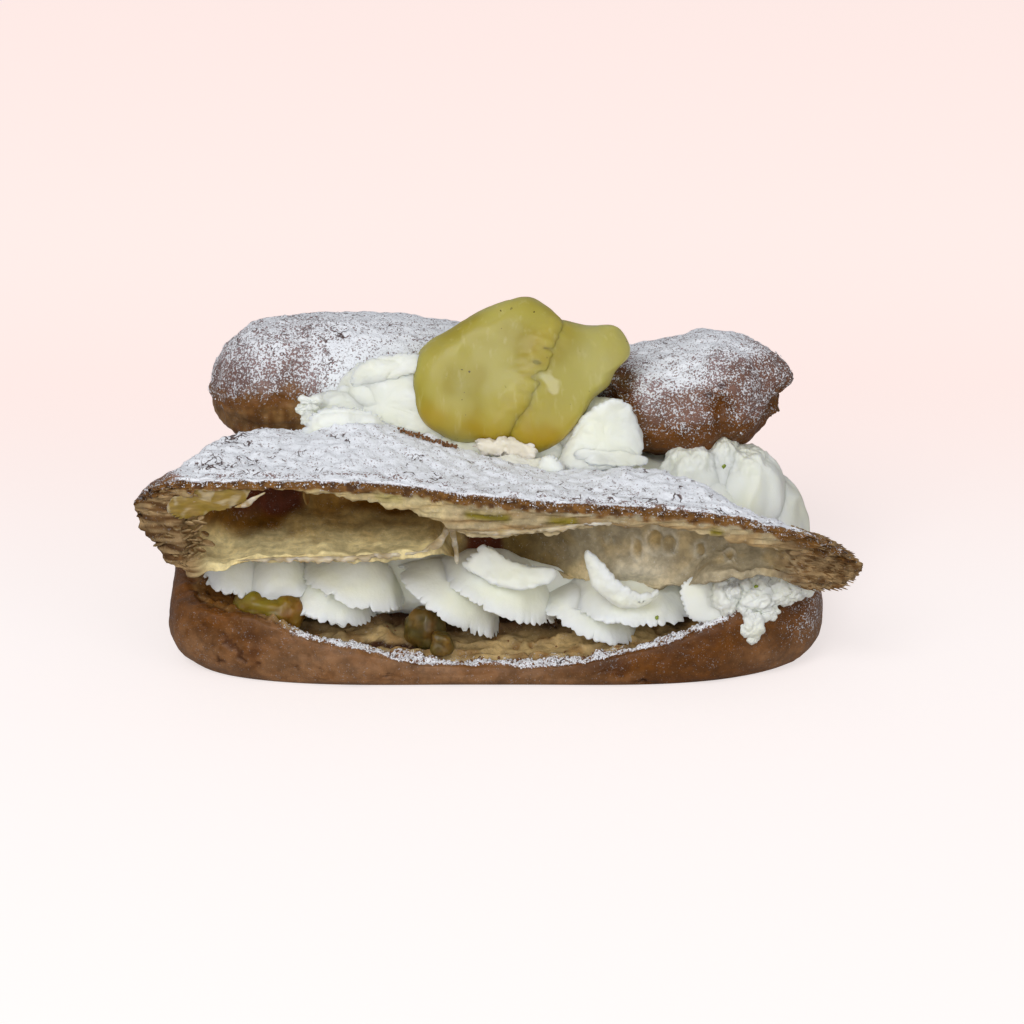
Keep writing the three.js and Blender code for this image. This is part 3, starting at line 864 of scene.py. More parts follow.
CRUMB_BED = colour(186, 158, 108)
# The second colour on the next line is painted shade, for the crumb under the cream and in the slits.
CRUMB_AMBER, CRUMB_SHADE = colour(130, 84, 26), colour(62, 32, 6)


def hollows_in(first, second, marks, lean=0.0):
    """The sum of soft dents, each as deep as its mark says, and leaning by a share of its height."""
    return sum(
        deep * bump(first + lean * (second - b), a, wide) * bump(second, b, tall)
        for a, b, wide, tall, deep in marks
    )


def shake(points, size, seed):
    """Half a millimetre of noise along each axis, to fray what is read at the points."""
    return 0.5 * np.stack([noise(points, size, seed + axis) for axis in range(3)], axis=1)


def base_relief(skin):
    """Outward moves: wrinkles and pits on the crust, pores, folds and slits in the crumb. Returns the
    painted skin and the band of its rim that sugar lies on."""
    p, step = skin["points"], skin["masks"].pop("step")
    x, y, z = p.T
    warp = p + shake(p, 1.6, 15)
    crumb = smoothstep(0.59, 0.625, step + 0.025 * noise(p, 2.0, 5) - 0.02 * smoothstep(-42, -56, x))
    frayed = warp + shake(p, 0.8, 25)
    pits = hollows_in(frayed[:, 0], frayed[:, 2], PITS, 0.6) * (y < 0) * (step < 0.58)
    slits = hollows_in(warp[:, 0], warp[:, 1], SLITS) * (step > 0.66)
    wrinkles = 0.6 * rough(p, 13, 3, 1, 0.45) - 0.12 * creases(p * (1, 1, 1.6), 7.0, 2)
    wrinkles = wrinkles + 0.05 * rough(p, 1.6, 2, 3)
    nearest = bubbles(p + 0.6 * rough(p, 3, 2, 9)[:, None], 2.3, 4)[0]
    pores = smoothstep(0.5, 0.2, nearest) * smoothstep(-0.1, 0.35, noise(p, 6, 8))
    folds = 1.0 * creases(p * (0.45, 1, 1), 4.2, 7, 4) + 0.5 * rough(p * (0.6, 1, 1), 3.4, 4, 6, 0.55)
    cut = folds - 0.8 * pores - slits
    clear_of_foot = smoothstep(0.2, 1.6, z)
    amount = mix(wrinkles * clear_of_foot - pits, cut, crumb)
    lip = bump(step, 0.6, 0.035)
    amount = amount + lip * (0.45 * rough(p, 2.2, 4, 12, 0.6) + 0.2)
    front = smoothstep(4, -14, y)
    place = step + 0.012 * noise(p, 3.4, 22) + 0.008 * noise(p, 1.4, 23)
    band = between(place, 0.56, 0.665, 0.02) * smoothstep(-44, -34, x) * smoothstep(53, 43, x) * front
    patchy = smoothstep(-0.5, 0.3, rough(p, 2.4, 3, 14))
    spill = 0.3 * between(step, 0.6, 0.72, 0.05) * between(x, -38, 48, 4) * front * patchy
    dusted = 0.3 * smoothstep(52, 62, x + noise(p, 6, 24)) * between(z, 6, 15, 3)
    dusted = dusted * smoothstep(0.66, 0.6, step)
    masks = skin["masks"]
    masks["sugar"] = np.clip(np.maximum(mix(0.62, 1.1, patchy) * band, spill) + dusted, 0, 0.96)
    masks["crumb"] = crumb
    masks["cracks"] = 0.9 * band
    low = smoothstep(0.95, 0.25, z / np.maximum(base_rim(x, y), 4))
    left, right = smoothstep(-36, -54, x), bump(x, 36, 17)
    broad = noise(p, 16, 18) + 0.5 * noise(p, 6, 19) + 0.35 * noise(p, 2.6, 28)
    tan = 0.7 * low + 0.4 + 0.6 * broad - 0.5 * left * (1 - low) - 1.3 * right * (1 - 0.5 * low)
    tan = np.clip(tan, 0, 1)
    flecks = smoothstep(0.2, 0.5, noise(p * (1, 1, 0.6), 1.5, 29)) * smoothstep(0, 0.4, noise(p, 9, 30))
    amber_right = smoothstep(8, 24, x) * smoothstep(58, 44, x + 0.6 * z) * smoothstep(-0.3, 0.3, broad)
    # Painted shade: the crumb at the back lies under the cream and is painted dark.
    back = smoothstep(-23, -13, y + 1.5 * noise(p, 5, 20)) * (1 - 0.75 * smoothstep(-36, -46, x))
    masks["tint"] = painted(
        CRUST_AMBER,
        (tan, CRUST_TAN),
        (smoothstep(0.1, 0.8, np.abs(broad) - tan) * 0.6, CRUST_DEEP),
        (flecks * (0.35 + 0.4 * left), CRUST_AMBER),
        (amber_right * 0.8, CRUST_RIGHT),
        # painted shade: the pits are painted darker
        (smoothstep(0.12, 0.5, pits) * 0.8, CRUST_DEEP),
        (crumb, CRUMB_BED),
        (crumb * np.maximum(left, 0.8 * smoothstep(26, 44, x)), CRUMB_AMBER),
        (crumb * 0.5 * smoothstep(0.1, 0.5, noise(p, 4, 21)), CRUMB_AMBER),
        # painted shade: the pores are painted amber-dark in their dents
        (crumb * smoothstep(0.3, 1.0, pores) * 0.6, CRUMB_AMBER),
        # painted shade: the crumb under the cream and in the slits
        (crumb * np.maximum(back, smoothstep(0.3, 0.9, slits)), CRUMB_SHADE),
    )
    skin = raised(skin, amount)
    skin["points"][:, 2] = np.maximum(skin["points"][:, 2], 0)
    return skin, band


base, rim_band = base_relief(base)
make_piece("puff_base", base, choux, "choux", "base_shell")

# %% [markdown]
# The sugar on the rim is loose and clumped, so grains of it stand up from the band, with a few
# brown crumbs among them. A bump would leave the rim's outline smooth, so these are small bodies.

# %% Grains on the rim
RIM_GRAINS, RIM_GRAIN_SIZE = 3800, 0.165
RIM_CRUMBS, RIM_CRUMB_SIZE = 1100, 0.2

on_sugar = rim_band * (0.15 + base["masks"]["sugar"] ** 2)
rim_sugar = grains_on(base, on_sugar, RIM_GRAINS, RIM_GRAIN_SIZE, 201)
make_piece("rim_sugar", rim_sugar, loose_sugar, "choux")
inside_rim = rim_band * base["masks"]["crumb"] + 0.02 * base["masks"]["crumb"] * (base["points"][:, 1] < -16)
rim_crumbs = grains_on(base, inside_rim + 0.5 * rim_band, RIM_CRUMBS, RIM_CRUMB_SIZE, 202)
make_piece("rim_crumbs", rim_crumbs, crumb_bits, "choux")

# %% [markdown]
# ## The front half of the lid
#
# This is the piece that shows most. Its section is a hook: over the top, round the back, forward
# to a lip, and back along the inside of the hollow. The section changes along the lid: on the
# left the lip reaches the cut face, so there is a floor, and in the middle the floor is gone. A
# sculpted mesh could have the same form, but here each size has its own curve and can be corrected.

# %% The front lid's stations
LID_START, LID_END, LID_ROUND = -69, 69.4, 4
LID = {
    "top": [(-69, 38.2), (-66, 40.6), (-60, 43.2), (-35, 43.6), (-21, 43.2), (-14, 42.4), (-7, 41), (2, 40.2),
            (12, 39), (22, 38.5), (36, 37.2), (44, 36.2), (50, 34.6), (58, 32.3), (64, 29.4), (69.4, 25.4)],
    "bottom": [(-69, 34.6), (-66, 30.2), (-62, 25), (-57, 23.4), (-50, 25.6), (-28, 26.4), (-13, 27.6),
               (-7, 21), (4, 18), (24, 16.6), (34, 17.4), (41, 22.4), (52, 23), (62, 20.8), (66, 21.2),
               (69.4, 24.6)],
    "front": [(-69, -28), (-60, -30.6), (0, -32), (58, -31.4), (69.4, -30)],
    "back": [(-69, -26), (-62, -23), (-56, -11.5), (-50, -5.5), (-44, -3), (-28, -1.4), (-14, -2), (2, -7.5),
             (12, -9.5), (30, -10.5), (38, -14), (44, -20), (49, -23.4), (60, -26), (69.4, -28.5)],
    "lip": [(-69, -28), (-60, -30.6), (-13, -31.8), (-7, -16), (4, -14), (16, -17.5), (26, -20.5),
            (34, -22), (41, -31.2), (58, -31.4), (69.4, -30)],
    "hollow": [(-69, -28), (-60, -30.6), (-56, -24), (-46, -15), (-30, -10), (-18, -11), (-10, -15),
               (-4, -13), (8, -14), (18, -18), (30, -20), (42, -22.5), (52, -26), (60, -31.2), (69.4, -30)],
    "ceiling": [(-69, 37.2), (-66, 38.6), (-60, 40), (-52, 40.8), (-44, 41.4), (-35, 40.6), (-26, 39.4),
                (-16, 37), (-9, 33.4), (-4, 31.6), (8, 32.4), (18, 33.8), (28, 34.1), (37, 33),
                (48, 29.8), (60, 27), (69.4, 25.2)],
    "squareness": [(-69, 2.4), (-50, 3.2), (36, 3.2), (46, 2.2), (69.4, 2)],
    "crown": [(-69, 0.2), (-60, 1.5), (-52, 3.6), (-46, 3.8), (-38, 2.8), (-33, 4.6), (-27, 5.6), (-22, 4.6),
              (-15, 2.6), (4, 1.6), (16, 1.8), (26, 3.2), (34, 3.6), (42, 2.2), (50, 0.6), (69.4, 0)],
}
LID_LEGS = [0, 0.25, 0.37, 0.41, 0.62, 0.86, 1]
LID_ROWS, LID_COLUMNS = 310, 290


def ragged_line(x, size, height, seed):
    """An uneven edge along x: layered noise on a line."""
    line = np.stack([x.ravel(), 0 * x.ravel() + seed, 0 * x.ravel()], axis=1)
    return height * rough(line, size, 3, seed, 0.6).reshape(x.shape)


def lid_place(turn, rise):
    """The hooked section at each x. Every curved leg is a quarter of a superellipse, whose points lie
    closer together (as share^1.6) where it meets an edge, and near the tips the section shrinks
    towards its middle. Its legs: top, underside, edge of the lip, floor, ceiling, cut crust."""
    x = mix(LID_START, LID_END, mix(rise, (1 - np.cos(np.pi * rise)) / 2, 0.4))
    at = {key: along(stations, x) for key, stations in LID.items()}
    front, back, top = at["front"], at["back"], at["top"]
    bottom = at["bottom"] + ragged_line(x, 5, 0.6, 3)
    ceiling = np.minimum(at["ceiling"] + ragged_line(x, 4, 0.5, 5), top - 0.6)
    lip = at["lip"] + ragged_line(x, 3, 0.5, 7)
    opened = smoothstep(2, 8, at["lip"] - front)
    thick = np.minimum(1.6, (ceiling - bottom) * 0.3)
    level = mix(bottom, top, 0.42)
    inner_lip, deepest = bottom + thick * (1 - opened), mix(bottom + thick, ceiling, 0.45)
    power = 2 / at["squareness"]
    lap = turn / (2 * np.pi)
    leg = np.clip(np.searchsorted(LID_LEGS, lap, side="right") - 1, 0, 5)
    share = (lap - np.take(LID_LEGS, leg)) / (np.take(LID_LEGS, leg + 1) - np.take(LID_LEGS, leg))
    early, late = (leg == 0) | (leg == 3), (leg == 1) | (leg == 4)
    share = np.where(early, share**1.6, np.where(late, 1 - (1 - share) ** 1.6, share))
    sine, cosine = np.sin(share * np.pi / 2) ** power, np.cos(share * np.pi / 2) ** power
    y = np.choose(leg, [
        mix(front, back, sine),
        mix(lip + thick * opened, back, cosine),
        mix(lip + thick * opened, lip, share),
        mix(lip, at["hollow"], sine),
        mix(front, at["hollow"], cosine),
        front + 0 * share,
    ])
    z = np.choose(leg, [
        mix(level, top, cosine) + at["crown"] * np.sin(share * np.pi),
        mix(level, bottom, sine),
        mix(bottom, inner_lip, share),
        mix(deepest, inner_lip, cosine),
        mix(deepest, ceiling, sine),
        mix(ceiling, top, share),
    ])
    stage = np.choose(leg, [share, 1 + share, 2 + 0 * share, 2 + share, 3 + share, 4 + share])
    reach = np.maximum(np.maximum(LID_START + LID_ROUND - x, x - LID_END + LID_ROUND), 0) / LID_ROUND
    fullness = np.sqrt(np.maximum(0, 1 - reach**2.2))
    return {
        "x": x,
        "y": mix(mix(front, back, 0.4), y, fullness),
        "z": mix(mix(bottom, top, 0.5), z, fullness),
        "leg": stage,
        "below_top": top - z,
    }


front_lid = fitted(closed_skin(LID_ROWS, ring_turns(LID_COLUMNS), lid_place), "front_lid")
print("front lid skin:", front_lid["points"].shape)

# %% [markdown]
# Seen from the cut side, the inside is a landscape: a pocket under the roof, a floor, a layered band
# under the crust in the middle, and a bubbly wall on the right. The pocket, a hole beside it and the
# lower left of the wall are painted dark and olive: painted shade. The floor is pale low down and tan
# towards the pocket, partly its own colour and partly painted shade. Each is a stretch of the lid's
# length and of `seen`, the height at which a point appears when looked at from 22 degrees above:
# z + y tan 22, from the height of the lid's lip. An image could be painted for it, but masks worked
# out from a point's place need no unwrapping and stay sharp close up.

# %% Crumb, web and sugar on the front lid
VIEW_DEGREES = 22
LIP_LEVEL = 24
CRUST_EDGE, CRUST_EDGE_DARK = colour(126, 86, 36), colour(66, 38, 14)
FLOOR_PALE, FLOOR_TAN = colour(230, 212, 156), colour(182, 154, 96)
WALL_GREY, WALL_WARM = colour(170, 156, 126), colour(198, 176, 126)
BAND_PALE, BAND_BROWN, BAND_OLIVE = colour(180, 162, 124), colour(150, 118, 72), colour(126, 112, 20)
# Painted shade: the dark core and the olive shade of the pockets under the roof.
POCKET_SHADE_DARK, POCKET_SHADE_OLIVE = colour(86, 34, 2), colour(112, 72, 2)
SHADE_OLIVE, RIM_PALE = colour(98, 74, 12), colour(214, 204, 180)
BUBBLES = [  # x, seen height, half width, half height of burst bubbles on the right wall
    (27.1, -7.2, 1.1, 1.8),
    (30.3, -5.7, 1.6, 2.3),
    (33.0, -6.3, 1.5, 2.1),
    (38.9, -7.7, 0.9, 1.6),
    (44.3, -8.7, 0.8, 1.2),
    (21.5, -6.0, 0.9, 0.6),
]
OLIVE_SPOTS = [  # start, end, and depth below the crust's top, of moist spots in the layered band
    (-6.2, 0.4, 4.4),
    (8.4, 14, 4.0),
    (40.4, 43.6, 3.8),
    (52.6, 54.8, 5.6),
    (-24, -16, 3.4),
]
# Painted shade beside the partition, browner and lighter than the deep pocket.
SIDE_POCKET_SHADE = colour(150, 112, 48)
TIP_BROWN, TIP_PALE = colour(104, 72, 34), colour(160, 132, 92)


def burst_bubbles(p, seen):
    """1 in the hollow of each burst bubble, and 1 on its rim."""
    x, seen = p[:, 0] + 0.3 * noise(p, 1.5, 49), seen + 0.3 * noise(p, 1.5, 50)
    far = np.min([np.hypot((x - a) / wide, (seen - b) / tall) for a, b, wide, tall in BUBBLES], axis=0)
    return smoothstep(1.0, 0.5, far), bump(far, 1.1, 0.25)


def lid_paint(skin, leg, below, seen):
    """The colours of the front lid: crust outside, and the landscape of the cut inside, with painted shade in
    its pockets.
    """
    p = skin["points"]
    x, y, z = p.T
    burst, rims = burst_bubbles(p, seen)
    drift = 1.2 * noise(p, 5, 31)
    seen, along_x = seen + drift, x + 2 * noise(p, 6, 32)
    inside = smoothstep(1.75, 1.95, leg + 0.06 * noise(p, 3, 33))
    left = smoothstep(-8, -11, along_x)
    # The floor is pale low down and tan towards the pocket above: partly its own colour, partly painted
    # shade.
    floor = left * smoothstep(-2.2, -6.4, seen)
    # Painted shade in the hollow: an olive halo under the left flap, a dark pocket under the roof, a browner
    # one beside the partition and a long olive shadow under the band.
    shade_halo = between(along_x, -57, -39, 2.5) * smoothstep(-5.6, -1.6, seen + 0.12 * (x + 50))
    pocket_shade = between(along_x, -50, -39.2, 1.6) * smoothstep(-1.6, 1.6, seen)
    side_pocket_shade = between(along_x, -38, -31, 1.5) * smoothstep(-3.4, 0.6, seen)
    long_pocket_shade = between(along_x, -36, -14, 2) * smoothstep(-1.4, 1.4, seen + 0.07 * (x + 24))
    front_floor = smoothstep(-24, -30, y) * left
    wall = smoothstep(-8, -4, along_x)
    # Painted shade: a dark patch at the hole beside the pale strand.
    hole_shade = between(along_x, -5.4, 0.6, 0.8) * between(seen, -9.4, -3.8, 0.8)
    shade = wall * smoothstep(18, 5, along_x) * smoothstep(-2.6, -4, seen)
    warm = between(along_x, 14, 30, 4) * smoothstep(-8, -12, seen)
    streaks = noise(p * (0.18, 1, 1.3), 1.5, 34)
    band = (leg > 3.6) * smoothstep(2.1, 3.0, below + 0.7 * noise(p, 1.6, 35))
    spots = np.maximum.reduce([
        between(along_x, a, b, 0.7) * bump(below + streaks * 0.3, deep, 0.8) for a, b, deep in OLIVE_SPOTS
    ])
    fibre = noise(p * (0.3, 1, 1), 1.0, 36)
    tips = inside * np.maximum(smoothstep(-54, -60, x + 0.15 * (z - 30)), smoothstep(50, 60, x))
    edge = (leg > 3.9) * smoothstep(2.9, 2.1, below + 0.8 * noise(p, 1.5, 37)) + smoothstep(0.05, 0.0, leg)
    layers = noise(p * (0.3, 0.5, 2.6), 2.4, 38)
    in_left, in_wall = inside * left, inside * wall
    return painted(
        CRUST_AMBER,
        (0.5 + 0.5 * noise(p, 6, 39), CRUST_EDGE),
        (inside, FLOOR_TAN),
        # pale lower floor, tan higher up: partly its own colour, partly painted shade
        (inside * floor, FLOOR_PALE),
        (inside * floor * smoothstep(0.1, 0.6, streaks) * 0.25, FLOOR_TAN),
        # painted shade of the pockets under the roof
        (in_left * long_pocket_shade, POCKET_SHADE_OLIVE),
        (in_left * side_pocket_shade * 0.8, SIDE_POCKET_SHADE),
        (in_left * shade_halo, POCKET_SHADE_OLIVE),
        (in_left * pocket_shade, POCKET_SHADE_DARK),
        (in_wall, WALL_GREY),
        (in_wall * smoothstep(0.1, 0.6, noise(p, 4, 40)) * 0.4, FLOOR_TAN),
        (inside * warm, WALL_WARM),
        (in_wall * bump(x, 26, 8) * bump(seen, -12.6, 3.4), RIM_PALE),
        (in_wall * 0.5 * burst, FLOOR_TAN),
        (in_wall * 0.6 * rims, RIM_PALE),
        (inside * shade * 0.9, SHADE_OLIVE),
        # painted shade in the hole
        (inside * hole_shade, POCKET_SHADE_DARK),
        (band * inside, BAND_PALE),
        (band * smoothstep(-0.3, 0.5, streaks) * 0.7, BAND_BROWN),
        (band * smoothstep(-22, -50, x) * 0.6, BAND_BROWN),
        (band * spots, BAND_OLIVE),
        (inside * front_floor * 0.4, FLOOR_PALE),
        (tips, TIP_PALE),
        (tips * smoothstep(-0.25, 0.35, np.where(x < 0, layers, fibre)), TIP_BROWN),
        (tips * smoothstep(0.35, 0.7, layers) * 0.5, CRUST_EDGE_DARK),
        (edge, CRUST_EDGE),
        (edge * smoothstep(-0.1, 0.5, noise(p, 1.3, 41)) * 0.8, CRUST_EDGE_DARK),
    )


def lid_relief(skin):
    """Outward moves: soft lumps under the sugar, flaky layers on the cut face and the tips, and a
    web of burst bubbles in the open hollow. Returns the skin and the masks that grains need."""
    p, leg, below = skin["points"], skin["masks"].pop("leg"), skin["masks"].pop("below_top")
    x, y, z = p.T
    seen = z - LIP_LEVEL + y * math.tan(math.radians(VIEW_DEGREES))
    outside = smoothstep(1.9, 1.7, leg)
    top = smoothstep(1.15, 0.9, leg) * smoothstep(-0.02, 0.03, leg)
    cut_face = smoothstep(3.9, 4.05, leg) + smoothstep(0.02, 0.0, leg)
    tips = np.maximum(smoothstep(-54, -61, x), smoothstep(52, 61, x))
    bulge = (leg > 2) * bump(x, 26, 6) * bump(seen, -11.4, 3)
    layers = rough(p * (0.35, 0.6, 2.4), 2.6, 3, 21, 0.6)
    flaky = np.where(x < 0, layers, rough(p * (0.3, 1, 1.2), 1.3, 3, 20, 0.6))
    soft = 0.4 * rough(p, 12, 3, 22) + 0.4 * noise(p, 3.4, 24)
    soft = soft + 0.32 * noise(p, 1.8, 30) + 0.12 * noise(p, 0.9, 44)
    nearest, second = bubbles(p * (1, 1, 0.75) + 0.8 * rough(p, 4, 2, 25)[:, None], 4.2, 26)
    bubbly = between(x, 18, 42, 4) * smoothstep(-14, -9, seen)
    burst, rims = burst_bubbles(p, seen)
    web = 0.4 * smoothstep(0.16, 0.02, second - nearest) * bubbly + (x > 18) * (0.4 * rims - 0.8 * burst)
    hollow = (1 - outside) * (1 - cut_face)
    band = smoothstep(3.6, 3.8, leg) * smoothstep(2.4, 3.2, below)
    torn = np.maximum(cut_face, tips * smoothstep(0.3, 0.0, np.minimum(leg, 5 - leg)))
    amount = outside * soft * mix(1, 0.5, tips) + torn * mix(0.2, 0.55, tips) * flaky
    amount = amount + tips * (1 - outside) * 0.6 * flaky + 0.45 * band * layers
    drawn = noise(p * (0.2, 1, 1), 1.6, 27)
    amount = amount + hollow * (0.5 * rough(p, 8, 2, 28) + 0.07 * drawn + web + 3.0 * bulge)
    masks = skin["masks"]
    masks["tint"] = lid_paint(skin, leg, below, seen)
    masks["crumb"] = np.clip(1 - outside + 0.5 * smoothstep(0.1, 0.9, leg) * (leg > 1) * outside, 0, 1)
    stray = noise(p, 3, 48)
    ends = np.maximum(smoothstep(-58, -63, x + 0.5 * stray), smoothstep(52, 63, x + stray))
    coat = top * mix(1.12, 0.34, ends)
    fringe = 0.5 + 0.5 * noise(p * (1, 0.3, 0.3), 2.2, 42)
    thicker = 0.5 * smoothstep(-20, 10, x)
    lapped = cut_face * smoothstep(1.15, 0.6, below + 0.6 * fringe + thicker) * mix(1.1, 0.3, ends)
    specked = cut_face * mix(0.04, 0.26, smoothstep(2.0, 0.4, below)) * (below < 3)
    masks["sugar"] = np.clip(np.maximum(np.maximum(coat, specked), lapped), 0, 1)
    crest = smoothstep(0.2, 0.5, leg) * (leg < 1)
    near_top = smoothstep(0.25, 0.05, leg) * (leg < 1)
    often = 0.25 + 0.6 * smoothstep(-30, -52, x) + 0.35 * crest + 0.4 * near_top
    masks["cracks"] = np.clip(top * (often + 0.4 * noise(p, 9, 43)), 0, 1)
    return raised(skin, amount), coat * (1 - 0.7 * ends), cut_face * (below < 1.8) * (1 - ends)


LID_GRAINS, FRONT_GRAIN_SIZE = 2600, 0.12

front_lid, lid_coat, lid_edge = lid_relief(front_lid)
make_piece("lid_front_half", front_lid, choux, "choux", "front_lid")
on_coat = lid_coat**3 * 0.3 + 0.16 * lid_edge
front_sugar = grains_on(front_lid, on_coat, LID_GRAINS, FRONT_GRAIN_SIZE, 203)
make_piece("lid_front_sugar", front_sugar, loose_sugar, "choux")

# %% [markdown]
# Skins of blown dough hang in the hollow: a flap at the left with a curled, pale tip, and a
# partition that stands behind it. The torn edges of floor and band are whitish threads. A plane
# would be enough for the form, but light scatters only in a closed body, so each has two faces.

# %% Membranes in the hollow
MEMBRANE_OLIVE, MEMBRANE_PALE = colour(150, 124, 44), colour(206, 192, 164)
MEMBRANE_TAN, MEMBRANE_RED = colour(160, 132, 76), colour(132, 84, 36)
THREAD_WHITE = colour(226, 218, 206)


def membrane_tint(skin, body, rim):
    """Body colour in the middle, rim colour at the edge, with cloudy patches."""
    p, edge = skin["points"], skin["masks"].pop("edge")
    skin["masks"]["tint"] = painted(
        body,
        (0.3 + 0.7 * noise(p, 2.4, 45), MEMBRANE_TAN),
        (0.5 * smoothstep(0.2, 0.6, noise(p, 1.6, 51)), rim),
        (smoothstep(0.85, 1, edge) * 0.5, rim),
    )
    return raised(skin, 0.12 * rough(p, 2, 2, 52))


FLAPS = [  # corners in the sheet's plane, origin, right, up, thickness, bend, torn, body, rim
    (((-8.4, 0.6), (-3, 2.2), (4, 2.4), (8.8, 1.6), (7.4, -0.8), (4.6, -2.2), (0.6, -2.6), (-4.4, -4.4),
      (-8.4, -3.6)),
     (-54, -30.4, 39), (1, 0.04, 0.02), (0, 0.15, 1), 0.5, lambda u, v: 0.3 * np.sin(0.8 * u) - 0.06 * v * v,
     (1.6, 0.9), MEMBRANE_OLIVE, MEMBRANE_PALE),
    (((-2.4, 5), (2.6, 5.4), (2.0, 1), (3.2, -3.4), (-0.6, -4.4), (-0.8, -0.8)),
     (-37.0, -16.6, 36.0), (0.24, 0.97, 0), (-0.06, 0.3, 1), 0.5, lambda u, v: 0.3 * np.sin(0.8 * v),
     0.3, MEMBRANE_RED, MEMBRANE_TAN),
]
THREADS = [  # route, widths, depth, torn
    (((-49.4, -31.6, 37.8), (-47.6, -31.9, 38.2), (-46.2, -31.8, 39.3), (-43.6, -31.4, 40.6)),
     (0.3, 1.0, 0.9, 0.4), 0.8, 0.2),
    (((-49, -31.0, 26.6), (-40, -31.6, 27.1), (-31, -31.8, 27.3), (-22, -31.8, 27.8), (-12.6, -31.6, 28.9)),
     (0.4, 1.1, 0.9, 1.3, 0.6), 1.2, 0.5),
    (((-9.4, -31.6, 33.8), (-2, -31.8, 32.6), (8.2, -31.8, 33.2), (18, -31.6, 34.4), (27, -31.4, 35)),
     (0.4, 0.8, 0.7, 0.9, 0.3), 1.0, 0.4),
    (((-9.4, -22, 32.0), (-8.8, -21.5, 29.4), (-8.3, -21, 26), (-7.8, -21, 21.6)),
     (2.0, 1.3, 1.2, 1.6), 0.8, 0.2),
    (((-14.4, -31.4, 28.6), (-11.6, -30, 29.6), (-9.8, -27, 31.0), (-9.2, -23, 32.4)),
     (0.8, 1.4, 1.4, 0.8), 1.4, 0.5),
]

flaps = [
    membrane_tint(sheet_skin(*sheet, 1.4, number, (24, 180)), body, rim)
    for number, (*sheet, body, rim) in enumerate(FLAPS)
]
threads = [
    membrane_tint(ribbon_skin(route, wide, deep, torn, 30 + number, (160, 28)), MEMBRANE_PALE, THREAD_WHITE)
    for number, (route, wide, deep, torn) in enumerate(THREADS)
]
make_piece("lid_membranes", together(flaps + threads), membrane, "choux")

# %% [markdown]
# At its two ends the lid is all thin layers. On the left they lie flat like leaves of a book, on
# the right they are drawn into fibres that run down to the tip. Relief on the skin leaves no gaps
# between the layers, so small sheets and fibres are added on it.

# %% Flakes and fibres at the tips
TIP_FLAKES, TIP_FIBRES = 64, 700
FLAKE = np.array([(-1, 0), (-0.7, 1), (0, 1.2), (1, 0.6), (0.8, -1), (-0.5, -1)])


def tip_flakes(count, seed):
    """Small flat sheets stacked between the lid's bottom and top near the left tip."""
    dice = np.random.default_rng(seed)
    flakes = []
    for number in range(count):
        x = dice.uniform(-66, -54.5)
        low, high = along(LID["bottom"], x), along(LID["top"], x)
        z = mix(float(low), float(high), 0.06 + 0.82 * (number + dice.uniform()) / count)
        wide, deep = dice.uniform(0.7, 1.9), dice.uniform(0.5, 1.2)
        front = float(along(LID["front"], x))
        origin = (max(x, -66.6 + wide), front + dice.uniform(0.5, 1.3), z)
        right, up = (1, dice.uniform(-0.2, 0.2), dice.uniform(-0.5, 0.7)), (0, 1, dice.uniform(-1.2, 0.4))
        corners = FLAKE * (wide, deep)
        flake = sheet_skin(corners, origin, right, up, 0.45, None, 0.9, 1.0, 300 + number, (8, 36), 3)
        browned = 0.55 + 0.8 * noise(flake["points"], 2, 46)
        edge = flake["masks"].pop("edge")
        flake["masks"]["tint"] = painted(TIP_PALE, (browned, TIP_BROWN), (edge * 0.15, FLOOR_PALE))
        flakes.append(flake)
    return flakes


def tip_fibres(count, seed):
    """Short fibres on the right end's cut face, along the way that the tip points."""
    x, y = front_lid["points"].T[:2]
    weight = smoothstep(50, 63, x) ** 2 * (y < along(LID["front"], x) + 3.5)
    places, out, dice = spots_on(front_lid, weight + 1e-9, count, seed)
    ways = np.column_stack([np.ones(count), dice.normal(0, 0.15, count), dice.normal(-0.3, 0.14, count)])
    ways = ways + 0.06 * out
    long = dice.uniform(0.5, 1.5, (count, 1)) * smoothstep(70.5, 66, places[:, :1])
    sizes = np.hstack([dice.uniform(0.1, 0.18, (count, 2)), long + 0.1])
    return scattered(places, ways, sizes, seed, 0.15)


make_piece("lid_tip_flakes", together(tip_flakes(TIP_FLAKES, 204)), choux, "choux")
fibres = tip_fibres(TIP_FIBRES, 205)
fibres["masks"]["tint"] = painted(TIP_PALE, (0.5 + 0.9 * noise(fibres["points"], 1.6, 47), TIP_BROWN))
fibres["masks"]["crumb"] = np.ones(len(fibres["points"]))
make_piece("lid_tip_fibres", fibres, choux, "choux")

# %% [markdown]
# ## The back half of the lid
#
# It shows only its baked outside, like a small loaf, thickly sugared on top and speckled at both
# ends. Its front is dented where the cream and the fruit lie, so points that would be inside the
# dent are pushed straight out of it. A boolean would cut it as well, but with a hard edge.

# %% The back lid's skin
BACK_START, BACK_END = -58.4, 59.2
BACK = {
    "top": [(-58.4, 55), (-46, 58), (-30, 59), (-12, 57), (8, 53.4), (27, 51.8), (36, 53.4),
            (43, 55.8), (52, 54.6), (59.2, 52)],
    "bottom": [(-58.4, 34), (-46, 34.5), (-30, 34.5), (0, 33.5), (24, 31.5), (42, 31.5), (52, 35),
               (59.2, 39)],
    "front": [(-58.4, 7), (-45, 3.5), (-20, 3), (10, 4), (32, 1.5), (45, 2), (59.2, 8)],
    "back": [(-58.4, 27), (-40, 32), (0, 32.8), (40, 32), (59.2, 26)],
}
BACK_ROUND, BACK_SQUARENESS = 12, 2.3
BACK_ROWS, BACK_COLUMNS = 260, 300
NOTCH_CENTRE, NOTCH_RADII = np.array([5.5, -1, 45]), np.array([20, 14.5, 17])


